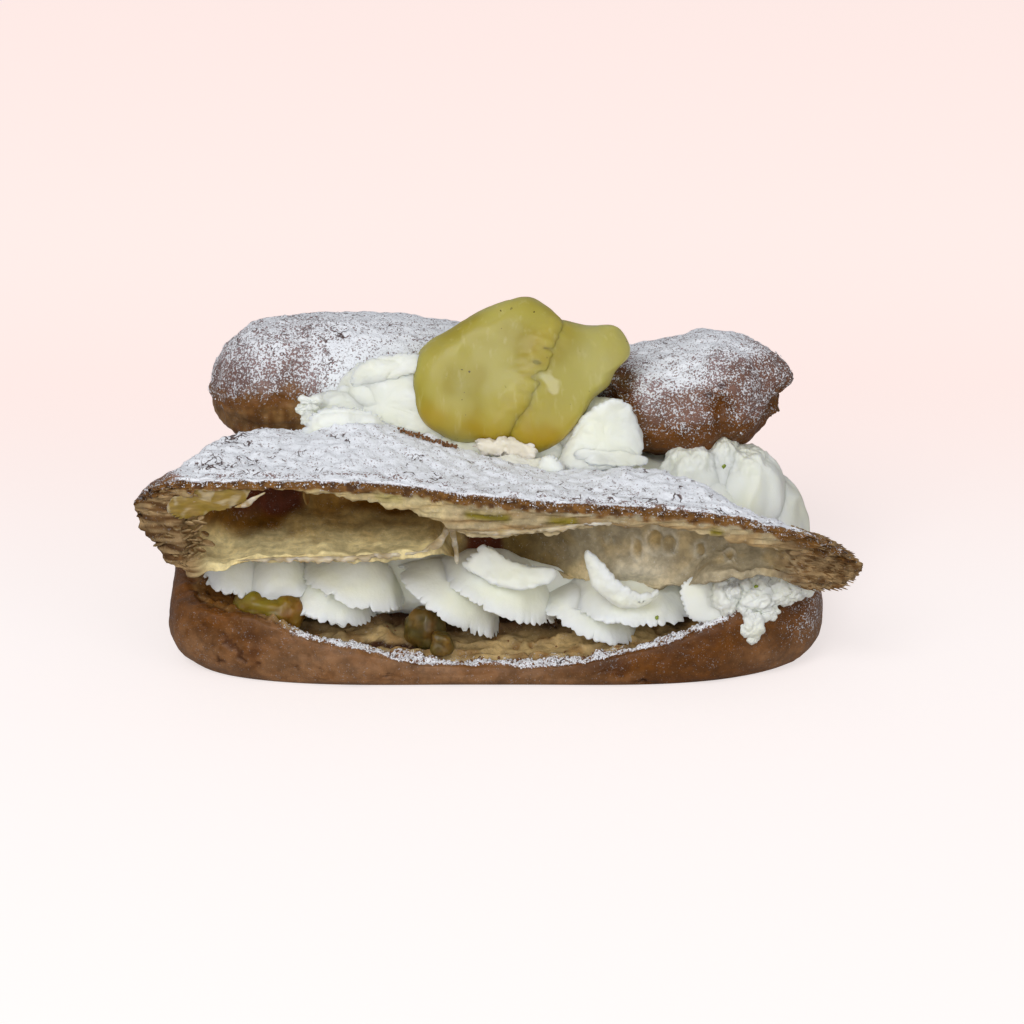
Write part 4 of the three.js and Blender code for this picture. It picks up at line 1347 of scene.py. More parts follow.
def loaf_place(sizes, start, end, end_round, squareness):
    """A rounded section carried along x, its size given by four curves, its ends rounded off."""

    def place(turn, rise):
        x = mix(start, end, (1 - np.cos(np.pi * rise)) / 2)
        top, bottom, front, back = (along(sizes[key], x) for key in ("top", "bottom", "front", "back"))
        reach = np.maximum(np.maximum(start + end_round - x, x - end + end_round), 0) / end_round
        fullness = np.sqrt(np.maximum(0, 1 - reach**2.2))
        power = 2 / squareness
        y = mix(front, back, 0.5) + (back - front) / 2 * fullness * signed_power(np.cos(turn), power)
        half = np.where(np.sin(turn) > 0, 0.55, 0.45) * (top - bottom) * fullness
        z = mix(bottom, top, 0.45) + half * signed_power(np.sin(turn), power)
        return {"x": x, "y": y, "z": z}

    return place


def pushed_out(skin, centre, radii):
    """Points inside an ellipsoid move straight away from its centre until they lie on it."""
    way = (skin["points"] - centre) / radii
    far = np.linalg.norm(way, axis=1)[:, None]
    skin["points"] = np.where(far < 1, centre + way / np.maximum(far, 1e-6) * radii, skin["points"])
    return skin


def section_outline(turn):
    """A section of middle size, height first. Its depth is negative in front, where rows are closer."""
    power = 2 / BACK_SQUARENESS
    return 12 * signed_power(np.sin(turn), power), 15 * signed_power(np.cos(turn), power)


back_turns = even_turns(BACK_COLUMNS, section_outline, 1.6)
back_place = loaf_place(BACK, BACK_START, BACK_END, BACK_ROUND, BACK_SQUARENESS)
back_skin = closed_skin(BACK_ROWS, back_turns, back_place)
back_lid = fitted(pushed_out(back_skin, NOTCH_CENTRE, NOTCH_RADII), "back_lid")
print("back lid skin:", back_lid["points"].shape)

# %% [markdown]
# The sugar is thickest on the crest and on the near side of the right lump, thin and speckled
# lower down, and gone near the bottom, where the crust turns golden. The right lump has a crease
# down its middle, two small holes and a torn end. Left end, middle and lump each have a coat of
# their own, and the three are added with soft borders, so that no line shows between them.

# %% Sugar, crease and torn end on the back lid
PIN_HOLES = [  # x, z, half width, half height, depth
    (41.6, 47.6, 0.55, 0.55, 1.6),
    (44.2, 49.4, 1.0, 0.55, 1.6),
]
BACK_GRAIN_SIZE = 0.15
CRUST_RED, CRUST_GOLD = colour(104, 60, 18), colour(146, 108, 62)


def back_relief(skin):
    """Outward moves, paint and sugar. Returns the skin and the mask for its grains."""
    p = skin["points"]
    x, y, z = p.T
    front = smoothstep(16, 8, y)
    soft = 0.3 * rough(p, 13, 2, 31) - 0.15 * creases(p, 5, 32)
    soft = soft + 0.26 * noise(p, 2.4, 33) + 0.14 * noise(p, 1.2, 34)
    torn = np.maximum(smoothstep(53, 57, x) * smoothstep(49, 44, z), bump(x, 24.5, 4) * smoothstep(13, 7, y))
    holes = hollows_in(x, z, PIN_HOLES) * (y < 12)
    crease = bump(x + 0.12 * (z - 44) + 0.5 * noise(p, 3, 51), 44.2, 2.2) * between(z, 33, 47.5, 2) * front
    under = bump(z, 40.5, 1.8) * smoothstep(-34, -44, x) * front
    right_bite = bump(x, 60.5, 4.2) * bump(z, 43.4, 2.2)
    facets = (np.abs(noise(p, 15, 49)) - 0.3) * smoothstep(22, 30, x)
    streaks = noise(p * (1, 0.3, 0.14), 1.3, 50) * smoothstep(-32, -40, x) * smoothstep(48, 42, z) * front
    amount = soft + torn * 0.8 * rough(p, 2.2, 4, 35, 0.6) - holes
    amount = amount - 2.0 * crease - 0.5 * under - 3.8 * right_bite
    amount = amount + 2.2 * facets + 0.12 * streaks
    drift = noise(p, 7, 36)
    left, middle, lump = smoothstep(-30, -44, x), between(x, -36, 22, 6), smoothstep(22, 30, x)
    tail = z - 0.24 * (x + 52)
    speck = noise(p, 1.4, 52)
    thick_left = 0.36 * smoothstep(50, 57, z + 2 * drift)
    thick_left = thick_left + 0.42 * smoothstep(42.5, 49, tail + 1.6 * drift + speck)
    thick_middle = 0.92 * smoothstep(42, 47, z + 2 * drift)
    near = (x - 26) / 34 + (56 - z) / 11 + 0.25 * drift
    thick_lump = 0.5 * smoothstep(1.2, 0.55, near) + 0.38 * smoothstep(35, 44, z + 2 * drift + speck)
    behind = smoothstep(12, 20, y) * smoothstep(44, 50, z)
    coat = np.clip(left * thick_left + middle * thick_middle + lump * thick_lump, 0, 1)
    coat = np.maximum(coat, 0.85 * behind) * (1 - 0.8 * crease) * (1 - 0.5 * torn)
    masks = skin["masks"]
    masks["sugar"] = np.clip(coat, 0, 1)
    masks["cracks"] = np.clip(0.45 + 0.6 * smoothstep(-18, -40, x) + 0.3 * drift, 0, 1)
    masks["crumb"] = np.clip(0.8 * torn, 0, 1)
    low = smoothstep(48, 42.6, tail + 1.6 * noise(p, 5, 37) + 0.8 * streaks)
    left_end = smoothstep(-30, -38, x)
    masks["tint"] = painted(
        CRUST_AMBER,
        (0.5 + 0.6 * noise(p, 8, 38), CRUST_DEEP),
        (lump * 0.85, CRUST_RED),
        (low * left_end, CRUST_GOLD),
        (left_end * bump(tail, 44.6, 1.8) * 0.8, CRUST_AMBER),
        (low * left_end * smoothstep(0.0, 0.6, streaks) * 0.7, CRUST_AMBER),
        (smoothstep(46, 39, z + 2 * drift) * lump * 0.8, CRUST_AMBER),
        (crease * 0.8, CRUST_AMBER),
        # painted shade: the pin holes and the groove low on the left end are painted dark
        (np.maximum(smoothstep(0.3, 1.2, holes), 0.35 * under), CRUST_EDGE_DARK),
        (torn * smoothstep(-0.2, 0.4, noise(p, 2, 39)), TIP_BROWN),
    )
    return raised(skin, amount), coat


back_lid, back_coat = back_relief(back_lid)
make_piece("lid_back_half", back_lid, choux, "choux", "back_lid")
facing_front = back_coat**2 * smoothstep(24, 14, back_lid["points"][:, 1])
back_sugar = grains_on(back_lid, facing_front + 0.003, LID_GRAINS, BACK_GRAIN_SIZE, 206)
make_piece("lid_back_sugar", back_sugar, loose_sugar, "choux")

# %% [markdown]
# ## The fruit
#
# Each chunk is a pillow: its outline is carried from one pole to the other, so both faces are
# nearly flat and the edge between them is round. The outline is smoothed by a cubic B-spline. A
# flat outline with a bevel would give the same silhouette, but not the swollen faces.

# %% The two chunks
CHUNKS = {
    "chunk_left": {
        "centre": (-0.5, 2.4, 53), "lean": 24, "yaw": -4, "thick": 14,
        "outline": [(12.6, 8.2), (8.6, 14.2), (5, 15), (-1.4, 12.8), (-6.6, 10), (-8.6, 8.2), (-13.6, 5.4),
                    (-16.2, 2.4), (-16.8, -3), (-15.6, -9.4), (-12, -12.8), (-8, -14.4), (-2.6, -14.6),
                    (1.4, -14.4), (5.2, -9), (9, -3), (11.4, 4.6)],
    },
    "chunk_right": {
        "centre": (15.5, 1.2, 50.1), "lean": 24, "yaw": 9, "thick": 12,
        "outline": [(11.8, 7.2), (9.8, 11), (7.4, 12.4), (2.2, 12), (-4.4, 12), (-8.4, 9), (-10, 4),
                    (-12, -3), (-14, -9), (-12.6, -12.6), (-10, -13.2), (-7.2, -12.6), (-3, -10.8),
                    (0.6, -6.6), (2.9, -1.8), (6.8, -0.6), (7.4, 2.2), (10.9, 4.2)],
    },
}
CHUNK_ROWS, CHUNK_COLUMNS = 96, 220


def chunk_place(chunk):
    """The outline spread out by a power of the sine, with the depth along the cosine, leaned back
    and turned about the vertical."""
    lean, yaw = math.radians(chunk["lean"]), math.radians(chunk["yaw"])
    middle = chunk["centre"]

    def place(turn, rise):
        flat = spline_outline(chunk["outline"], turn)
        spread = np.sin(np.pi * rise) ** 0.42
        right, up = flat[..., 0] * spread, flat[..., 1] * spread
        deep = -signed_power(np.cos(np.pi * rise), 0.8) * chunk["thick"] / 2
        back = deep * math.cos(lean) + up * math.sin(lean)
        return {
            "x": middle[0] + right * math.cos(yaw) - back * math.sin(yaw),
            "y": middle[1] + right * math.sin(yaw) + back * math.cos(yaw),
            "z": middle[2] + up * math.cos(lean) - deep * math.sin(lean),
        }

    return place


chunk_skins = {
    node: fitted(closed_skin(CHUNK_ROWS, ring_turns(CHUNK_COLUMNS), chunk_place(chunk)), node)
    for node, chunk in CHUNKS.items()
}
print("chunk skins:", {node: skin["points"].shape for node, skin in chunk_skins.items()})

# %% [markdown]
# Where the chunks touch, their wet flesh has run together. Both skins swell towards the crease as
# (1 - distance / 9)^2, a rounded corner, and short torn fibres run across it. The flesh is olive,
# golden at the bottom and along the crease, and paler in clouds.
# A white spot near the crease on the right chunk is pale torn flesh with a painted highlight.
# The right chunk's upper right is painted paler: painted light on the side that the lamps leave dim.

# %% Flesh and the crease between the chunks
CREASE = np.array([
    (10.8, 1, 62), (9.2, -0.9, 60), (7.5, -2.9, 56), (6, -4.2, 52), (4.5, -5.1, 48), (2.9, -4.8, 44.4)
])
SWELL, SWELL_REACH = 3.2, 9
FRUIT_OLIVE, FRUIT_GOLD = colour(166, 152, 50), colour(176, 146, 22)
FRUIT_PALE, FRUIT_WHITE = colour(186, 178, 104), colour(222, 214, 176)


def from_line(points, line):
    """The distance from each point to a line of straight pieces."""
    nearest = np.full(len(points), 1e9)
    for start, end in zip(line[:-1], line[1:]):
        way = end - start
        share = np.clip((points - start) @ way / (way @ way), 0, 1)
        nearest = np.minimum(nearest, np.linalg.norm(points - start - share[:, None] * way, axis=1))
    return nearest


for number, (node, skin) in enumerate(chunk_skins.items()):
    p = skin["points"]
    x, y, z = p.T
    away = from_line(p, CREASE)
    facets = np.abs(noise(p, 17, 41 + number))
    grain = noise(p * (1, 1, 0.25), 1.8, 43 + number)
    swell = SWELL * np.maximum(0, 1 - away / SWELL_REACH) ** 2
    skin = raised(skin, 0.8 * facets - 0.3 + 0.2 * noise(p, 6, 42 + number) + 0.04 * grain + swell)
    torn_fibres = noise(p * (0.35, 1, 1), 1.1, 48) * np.maximum(0, 1 - away / 5)
    skin = raised(skin, 0.22 * torn_fibres)
    low = smoothstep(52, 42, z + 3 * noise(p, 9, 46))
    # A white spot near the crease on the right chunk: pale torn flesh with a painted highlight.
    torn_spot_highlight = number * bump(x + 0.6 * (z - 53), 10.2, 1.3) * bump(z - 0.4 * x, 48.6, 2.2)
    pale = 0.5 * smoothstep(-0.1, 0.6, noise(p, 10, 47))
    # Painted light: the right chunk's upper right is painted paler, on the side that the lamps leave dim.
    pale = pale + number * 0.8 * smoothstep(8, 22, x) * smoothstep(46, 56, z)
    skin["masks"]["tint"] = painted(
        FRUIT_OLIVE,
        (low, FRUIT_GOLD),
        (pale, FRUIT_PALE),
        (0.6 * bump(away, 0, 3), FRUIT_GOLD),
        (smoothstep(0.2, 0.5, torn_spot_highlight + 0.2 * noise(p, 1.2, 49)), FRUIT_WHITE),
    )
    skin["masks"]["cloud"] = np.ones(len(p))
    make_piece(f"fruit_{node}", skin, fruit, "fruit", node)

# %% [markdown]
# Three small bits of fruit lie in the base, under the cream. They are painted dark, painted shade
# where the cream overhangs them. Each is a rounded block, because a torn piece of fruit has neither
# flat faces nor a ball's evenness.

# %% The bits of fruit in the base
BITS = {  # middle, half sizes, turned about the vertical in degrees
    "fruit_bit_left": ((-44.8, -21, 12), (7.6, 4.6, 4.4), -14),
    "fruit_bit_middle": ((-14.2, -21.5, 8.6), (4, 4, 4.2), -24),
    "fruit_bit_small": ((-10.8, -26, 7), (2.4, 2, 2.6), -10),
}
BIT_ROWS, BIT_COLUMNS = 50, 96
# Painted shade: the bits lie under the cream, so both colours are dark, the second most.
BIT_OLIVE, BIT_IN_SHADE = colour(134, 116, 18), colour(78, 64, 22)


def bit_place(middle, half, turned):
    """A rounded block: powers under one square off an ellipsoid, turned about the vertical."""
    angle = math.radians(turned)

    def place(turn, rise):
        ring = np.sin(np.pi * rise) ** 0.6
        x = half[0] * ring * signed_power(np.cos(turn), 0.66)
        y = half[1] * ring * signed_power(np.sin(turn), 0.66)
        z = -half[2] * signed_power(np.cos(np.pi * rise), 0.8)
        return {
            "x": middle[0] + x * math.cos(angle) - y * math.sin(angle),
            "y": middle[1] + x * math.sin(angle) + y * math.cos(angle),
            "z": middle[2] + z + 0 * turn,
        }

    return place


for number, (node, bit) in enumerate(BITS.items()):
    skin = closed_skin(BIT_ROWS, ring_turns(BIT_COLUMNS), bit_place(*bit))
    p = skin["points"]
    skin = fitted(raised(skin, 0.4 * rough(p, 4, 3, 51 + number) + 0.8 * np.abs(noise(p, 4.5, 54))), node)
    body = BIT_OLIVE if number == 0 else BIT_IN_SHADE
    # Amber patches at random, and on the left bit painted shade towards its right end, under the cream.
    shaded = 0.2 + 0.4 * noise(p, 3, 55) + 0.6 * smoothstep(-45, -39, p[:, 0]) * (number == 0)
    skin["masks"]["tint"] = painted(body, (shaded, CRUMB_AMBER))
    skin["masks"]["cloud"] = np.full(len(skin["points"]), 0.15)
    make_piece(node.replace("fruit_bit", "fruit_piece"), skin, fruit, "fruit", node)

# %% [markdown]
# ## The piped cream
#
# A star nozzle leaves leaves of cream: smooth and domed, thin at the drooping edge, where the
# pressure tears them into blunt teeth. Each leaf is one skin on a globe's grid, and its columns lie
# closer together at the front, where it shows. Two leaves were torn by the lid: one is left as a
# torn sheet shaped like a boat, the other as a crescent of its rim, a ribbon. A star carried along
# a coil would give even ridges, as on a neat rosette, but no torn edges.

# %% Leaves of cream
RUFFLES = [  # middle, radius, thickness, right side down in degrees
    ((-50, -15, 20.4), 7.4, 6, 20),
    ((-43, -15.5, 20.4), 7.6, 6, -2),
    ((-32.4, -15.5, 15.8), 9.6, 8, 14),
    ((-27, -15, 19.6), 10.8, 8, 18),
    ((-6.8, -15, 15.9), 11.6, 8, 34),
    ((2, -14, 18.1), 13.2, 8.5, 24),
    ((19.6, -15.5, 13), 11, 7.5, 20),
    ((25.6, -13.5, 16.4), 14.2, 8.5, 6),
]
LEFT_LEAVES = 6  # how many of them are in the first mesh
DROOP = 5
TEETH = 2.3
LEAF_ROWS = 72
LEAF_COLUMNS = 3.5  # for each millimetre of rim


def ruffle_skin(number, middle, radius, thick, tilt):
    """A leaf. Its edge droops as share^2.4, where share runs from 0 in the middle to 1 at the edge.
    The teeth are noise read along the rim: narrow notches between blunt lobes. A notch draws the edge
    back along the leaf's own surface, by share^24, so it cuts no groove above the edge."""
    slope = math.radians(tilt)

    def place(turn, rise):
        angle = turn - 0.4 * np.cos(turn)
        rim = np.stack([radius * np.cos(angle), radius * np.sin(angle)], axis=-1)
        share = np.sin(np.pi * rise) ** 0.75
        notch = (1 - np.abs(ring_noise(rim, TEETH, 60 + number))) ** 4
        notch = notch * smoothstep(-0.6, 0.3, ring_noise(rim, 4, 70 + number))
        wave, fine = ring_noise(rim, 6.5, 80 + number), ring_noise(rim, 0.9, 90 + number)
        cut = (0.9 * notch + 0.3 * fine - 0.35) / radius
        drawn = share * (1 - cut * share**24)
        reach = radius * drawn * (1 + 0.03 * wave)
        x, y = reach * np.cos(angle), reach * np.sin(angle)
        lens = -np.cos(np.pi * rise) * (thick / 2) * mix(1, 0.26, share**2.5) * np.where(rise > 0.5, 0.7, 1)
        z = lens - DROOP * 0.9 * drawn**2.4 + 0.15 * wave * drawn**3 - 0.4 * np.maximum(0, y)
        return {
            "x": middle[0] + x * math.cos(slope) + z * math.sin(slope),
            "y": middle[1] + y,
            "z": middle[2] - x * math.sin(slope) + z * math.cos(slope),
            "edge": share**6 + 0 * angle,
        }

    skin = closed_skin(LEAF_ROWS, ring_turns(round(2 * math.pi * radius * LEAF_COLUMNS)), place)
    p = skin["points"]
    return raised(skin, 0.35 * rough(p, 8, 2, 60 + number) + 0.04 * rough(p, 1.8, 3, 80 + number))


def cream_piece(name, skins, warm=0.0):
    """One mesh of several cream skins. warm says how peach each of them is, from 0 to 1."""
    for skin, tone in zip(skins, np.broadcast_to(warm, len(skins))):
        skin["masks"]["warm"] = np.full(len(skin["points"]), float(tone))
    make_piece(name, together(skins), cream, "cream", "whipped_cream")


BOAT = [(-9.9, 1.4), (-8.2, 2.6), (-5.4, 5.4), (-3.2, 4.2), (0.2, 1.8), (3.3, 1.1), (6.2, 0.7), (9.6, 0.3),
        (8.2, -2.2), (4.8, -3.9), (0.2, -4.0), (-4.4, -2.6), (-8.2, -0.4)]
CRESCENT = [(31.0, -25.0, 17.6), (29.0, -26.2, 17.0), (26.6, -27.0, 16.8), (24.1, -27.4, 17.4),
            (21.4, -27.2, 19.3), (19.3, -26.6, 22.0), (17.9, -25.8, 24.3), (16.9, -25, 26.2)]
CRESCENT_WIDTHS = (2.0, 2.9, 3.9, 4.5, 4.5, 4.1, 3.2, 2.0)
boat = sheet_skin(
    BOAT, (2.5, -23.2, 21.3), (1, 0, 0), (0, 0.42, 0.9), thick=3.0,
    bend=lambda u, v: -0.012 * u * u + 0.05 * (v - 2) ** 2,
    torn=(0.2, 1.3), tooth=1.4, seed=61, grid=(48, 240), taper=4,
)
boat = raised(boat, 0.35 * rough(boat["points"], 5, 3, 63) - 0.3 * creases(boat["points"], 6, 65, 5))
crescent = ribbon_skin(CRESCENT, CRESCENT_WIDTHS, 2.2, 0.4, 62, (200, 60), 0.3)
crescent = raised(crescent, 0.25 * rough(crescent["points"], 3, 3, 64))
leaves = [ruffle_skin(number, *leaf) for number, leaf in enumerate(RUFFLES)]
cream_piece("cream_leaves_left", leaves[:LEFT_LEAVES])
cream_piece("cream_leaves_right", leaves[LEFT_LEAVES:] + [boat, crescent])

# %% [markdown]
# The cream on top was spread and pulled, not piped. It is a few thick sheets with torn edges over
# rounded mounds. Each sheet's plane leans back, and its bend gives it the sweep of the spoon. A
# sculpted lump could look the same, but a sheet has a thin edge all round that can be torn.

# %% Sheets of cream
CREAM_SHEETS = [  # corners in the plane, origin, lean back, yaw, thickness, bend, torn
    (((-29.9, 4.7), (-28.9, 8.5), (-25.4, 10.8), (-20.3, 12.2), (-14.5, 12.2), (-13.7, 8.3), (-18.8, 7.1),
      (-23.9, 5.5)),
     (0, -3.2, 46), 20, 0, 2.2, lambda u, v: -0.02 * (u + 22) ** 2 + 0.3 * np.sin(0.9 * v), 0.9),
    (((-38.2, 4.4), (-35, 8.1), (-30.4, 9.6), (-27, 11.6), (-20.7, 12.4), (-13.6, 12.2), (-10.4, 7.4),
      (-6.4, -0.4), (-11.7, -1.0), (-19.5, 1.0), (-25.7, 2.6), (-33.8, 1.6)),
     (0, -6.4, 42), 22, -6, 2.6, lambda u, v: -0.018 * (u + 24) ** 2 + 0.5 * np.sin(0.6 * v + 0.2 * u), 1.2),
    (((-37.8, 1.4), (-38.6, 5.4), (-35.4, 8.2), (-30.8, 8.9), (-24.5, 7.7), (-19.9, 4.4), (-21.0, 0.6),
      (-28.8, 0.2)),
     (0, -8, 42), 24, 8, 3.4, lambda u, v: -0.03 * (u + 29) ** 2 + 0.3 * np.sin(u), 0.9),
    (((11.0, -2), (12.6, 3), (15.6, 8), (19.2, 11), (23.6, 12.2), (26.8, 9.8), (28.6, 4.8), (29.6, -0.6),
      (24, -2.6), (17, -2.6)),
     (0, -9.4, 38), 26, 6, 4.0, lambda u, v: -0.02 * (u - 20) ** 2 + 0.05 * (v - 4) ** 2, 0.4),
    (((13.4, 3.6), (19.8, 3.2), (25, 2.4), (30.4, 2.0), (29.6, -1.0), (23, -1.0), (16.0, -0.2)),
     (0, -12.2, 38), 36, 6, 2.4, lambda u, v: -0.02 * (u - 20) ** 2 + 0.14 * (v - 1) ** 2, 0.4),
    (((7.2, -1.6), (7.6, 2.2), (9.6, 4.0), (11.8, 3.0), (13.2, 0.6), (12.2, -1.8)),
     (0, -12, 38), 14, -10, 2.6, None, 0.4),
    (((-6.6, 4.0), (-3.4, 5.8), (0.6, 5.2), (3.4, 6.0), (6.2, 4.6), (9.2, 2.2), (6.4, 1.0), (2.4, 1.8),
      (-2.6, 2.4)),
     (0, -10.8, 38), 34, 0, 1.7, lambda u, v: 0.5 * np.sin(1.1 * u) + 0.3 * np.sin(1.9 * v), 1.2),
    (((-4.4, 2.8), (2.1, 2.6), (8.1, 2.2), (15.2, 1.2), (12.8, -2.5), (4.2, -2.1)),
     (0, -12, 38), 38, 0, 2.0, lambda u, v: 0.5 * np.sin(0.7 * u), 0.7),
]
WARM_SHEETS = (0, 0, 0, 0, 0, 0, 0.42, 0.2)  # how peach each sheet is: two were coloured by the fruit
SHEET_GRID = (46, 220)


def cream_sheet(number, corners, origin, lean, yaw, thick, bend, torn):
    """A sheet whose plane leans back and turns, with soft folds, and rougher where it is peach."""
    lean, yaw = math.radians(lean), math.radians(yaw)
    right, up = (math.cos(yaw), math.sin(yaw), 0), (0, math.sin(lean), math.cos(lean))
    skin = sheet_skin(corners, origin, right, up, thick * 1.1, bend, torn, 1.4, 120 + number, SHEET_GRID, 3.4)
    p = skin["points"]
    folds = 0.3 * creases(p * (1, 1, 1.5), 7, 125 + number, 5)
    folds = folds - (WARM_SHEETS[number] > 0) * 0.4 * rough(p, 2.6, 3, 145)
    soft = 0.3 * rough(p, 6, 3, 130 + number, 0.45)
    return raised(skin, soft - folds + 0.06 * rough(p, 1.3, 2, 140 + number))


sheets = [cream_sheet(number, *sheet) for number, sheet in enumerate(CREAM_SHEETS)]
cream_piece("cream_sheets", sheets, WARM_SHEETS)

# %% [markdown]
# Below the lids the cream fills the bun as a bed. At the right end it was pressed up in flutes, and
# a curdled lump hangs torn over the rim. Curdled cream is small lumps on larger ones, so its relief
# keeps more of each finer layer.

# %% Mounds and the bed
END_MOUNDS = 5
MOUNDS = [  # middle, half sizes, lean back in degrees, relief: flutes or height of the tufts
    ((31.8, 3, 21.4), (8, 8, 11), 0, "flutes"),
    ((38.4, 2.6, 23.6), (8.4, 9, 13.8), 0, "flutes"),
    ((44, 6, 24.6), (7, 9, 13.4), 0, "flutes"),
    ((49.4, 4, 22.8), (8.4, 10, 13.4), 0, "flutes"),
    ((54.6, 6, 17.4), (7.6, 11, 12), 0, "flutes"),
    ((-31, 1.0, 44.4), (7.6, 5.6, 5), 15, 0.4),
    ((-23, 3.2, 47.8), (9, 5.6, 6.6), 20, 0.4),
    ((-15.4, 3.2, 47.4), (6, 6, 7.4), 20, 0.4),
    ((18.6, 0.6, 40), (10, 7, 8), 14, 0.4),
    ((3, -1.6, 38.4), (13, 6, 5.2), 0, 0.5),
    ((-37.6, -5.4, 47.8), (2.4, 1.8, 1.4), 0, 0.9),
    ((-36.0, -6.2, 46), (2.8, 2.2, 2.0), 0, 1.0),
    ((-36.6, -5.0, 49.4), (2.0, 1.4, 0.9), 0, 0.8),
]
CURD_ROWS, CURD_COLUMNS = 60, 100
CURDS = [  # middle, half sizes of the lumps of the torn cream at the right
    ((43.4, -24.4, 16.6), (4.2, 4.4, 4.2)),
    ((49.4, -24.6, 16.4), (4.4, 4.0, 4.0)),
    ((55.0, -23.8, 17.6), (4.2, 3.6, 3.0)),
    ((47.0, -26.0, 13.2), (3.0, 2.6, 3.0)),
    ((48.6, -28.2, 11.6), (2.5, 1.7, 3.6)),
    ((52.2, -26.0, 13.8), (2.2, 2.2, 2.0)),
    ((58.6, -23.4, 17.8), (2.6, 2.4, 1.8)),
    ((44.6, -27.0, 18.4), (2.2, 1.6, 1.6)),
]
PETAL = [(-5.6, 2.4), (-2.4, 5.0), (4.0, 5.0), (5.8, 1.4), (5.0, -3.6), (1.2, -4.8), (-3.4, -4.6),
         (-4.4, -0.8)]
BED_ROWS, BED_COLUMNS = 90, 160
BEDS = [  # sizes along x, start, end, rounding of the ends, squareness
    ({"top": [(-57, 24), (58, 22)],
      "bottom": [(-57, 4), (58, 4)],
      "front": [(-57, -12), (0, -17), (58, -12)],
      "back": [(-57, 22), (0, 29), (58, 22)]}, -57, 58, 12, 2.6),
    ({"top": [(-52, 36), (-40, 37), (-30, 42), (-20, 44), (8, 42), (20, 37), (30, 33.5), (42, 32.5),
              (54, 25)],
      "bottom": [(-52, 14), (54, 14)],
      "front": [(-52, -2), (-28, -8), (0, -8), (54, -8)],
      "back": [(-52, 20), (0, 28), (54, 20)]}, -52, 54, 12, 2.4),
]


def ball_place(middle, half, lean=0):
    """An ellipsoid leaned back about X."""
    tilt = math.radians(lean)

    def place(turn, rise):
        ring = np.sin(np.pi * rise)
        x, y = half[0] * ring * np.cos(turn), half[1] * ring * np.sin(turn)
        z = -half[2] * np.cos(np.pi * rise)
        return {
            "x": middle[0] + x,
            "y": middle[1] + y * math.cos(tilt) + z * math.sin(tilt),
            "z": middle[2] - y * math.sin(tilt) + z * math.cos(tilt),
            "edge": 0.2 + 0 * x,
        }

    return place


def flutes(p, size):
    """Upright ridges: 1.5 (1 - |noise| - 0.7), of noise drawn out up and down and a little bent."""
    return 1.5 * (0.3 - np.abs(noise(p * (1, 0.9, 0.2) + 0.8 * noise(p, 8, 153)[:, None], size, 150)))


def mound_skin(number, middle, half, lean, relief):
    """A mound with flutes and a torn top, or with tufts of a height. It has rows to suit its size."""
    rows = round(38 + 3.6 * max(half))
    skin = closed_skin(rows, ring_turns(round(1.75 * rows)), ball_place(middle, half, lean))
    p = skin["points"]
    torn_top = smoothstep(31, 36, p[:, 2])
    if relief == "flutes":
        amount = flutes(p, 6) + 0.25 * rough(p, 7, 2, 151) + 0.6 * torn_top * rough(p, 3, 4, 152, 0.6)
    else:
        amount = relief * (rough(p, 4, 4, 89 + number, 0.5) - 0.6 * creases(p, 5, 109 + number))
    return raised(skin, amount)


def curd_skin(number, middle, half):
    """A curdled lump: noise whose finer layers are nearly as strong as its coarser ones."""
    skin = closed_skin(CURD_ROWS, ring_turns(CURD_COLUMNS), ball_place(middle, half))
    p = skin["points"]
    height = min(1, min(half) / 3)
    curdled = 0.7 * rough(p, 3.2, 4, 160 + number, 0.6) - 0.8 * creases(p, 3.6, 170 + number, 7)
    return raised(skin, height * curdled)


def bed_skin(*loaf):
    """A loaf of cream with broad flutes."""
    skin = closed_skin(BED_ROWS, ring_turns(BED_COLUMNS), loaf_place(*loaf))
    p = skin["points"]
    skin["masks"]["edge"] = np.full(len(p), 0.2)
    return raised(skin, 0.5 * rough(p, 8, 3, 131) + flutes(p, 9))


mounds = [mound_skin(number, *mound) for number, mound in enumerate(MOUNDS)]
cream_piece("cream_mounds_back", mounds[:END_MOUNDS])
cream_piece("cream_mounds_top", mounds[END_MOUNDS:])
petal = sheet_skin(
    PETAL, (39.8, -26.0, 16.2), (1, -0.15, 0), (0, 0.3, 1), thick=1.5,
    bend=lambda u, v: 0.25 * np.sin(0.7 * u) - 0.02 * v * v,
    torn=0.5, tooth=1.4, seed=175, grid=(32, 160), taper=5,
)
cream_piece("cream_curds", [curd_skin(number, *lump) for number, lump in enumerate(CURDS)] + [petal])
cream_piece("cream_bed", [bed_skin(*bed) for bed in BEDS])

# %% [markdown]
# A few green flecks of herb lie on the cream, and brown crumbs where the lids were torn. Painted
# dots would do from afar. Small bodies also catch the light and cast a shadow.

# %% Flecks and crumbs
FLECKS = np.array([(44.5, -2.2, 34.6), (49.4, -28.0, 20.0), (-28.4, -8.6, 47.4), (30.6, -26.2, 12.6)])
FLECK_SIZE = 0.45
STRIP_START, STRIP_END = np.array([-19.3, -11.0, 45.6]), np.array([-8.5, -12.4, 42.6])
STRIP_SPREAD = (0.5, 0.35, 0.12)
STRIP_CRUMBS, STRIP_CRUMB_SIZE = 110, 0.26


def few_bits(places, size, seed):
    """Small bits, their long axes any way. The ways need another seed than the one that scattered()
    draws the sides from, or each side would lie along its way."""
    dice = np.random.default_rng(seed + 50)
    ways = dice.normal(size=places.shape)
    return scattered(places, ways, size * dice.uniform(0.6, 1.2, (len(places), 3)), seed)


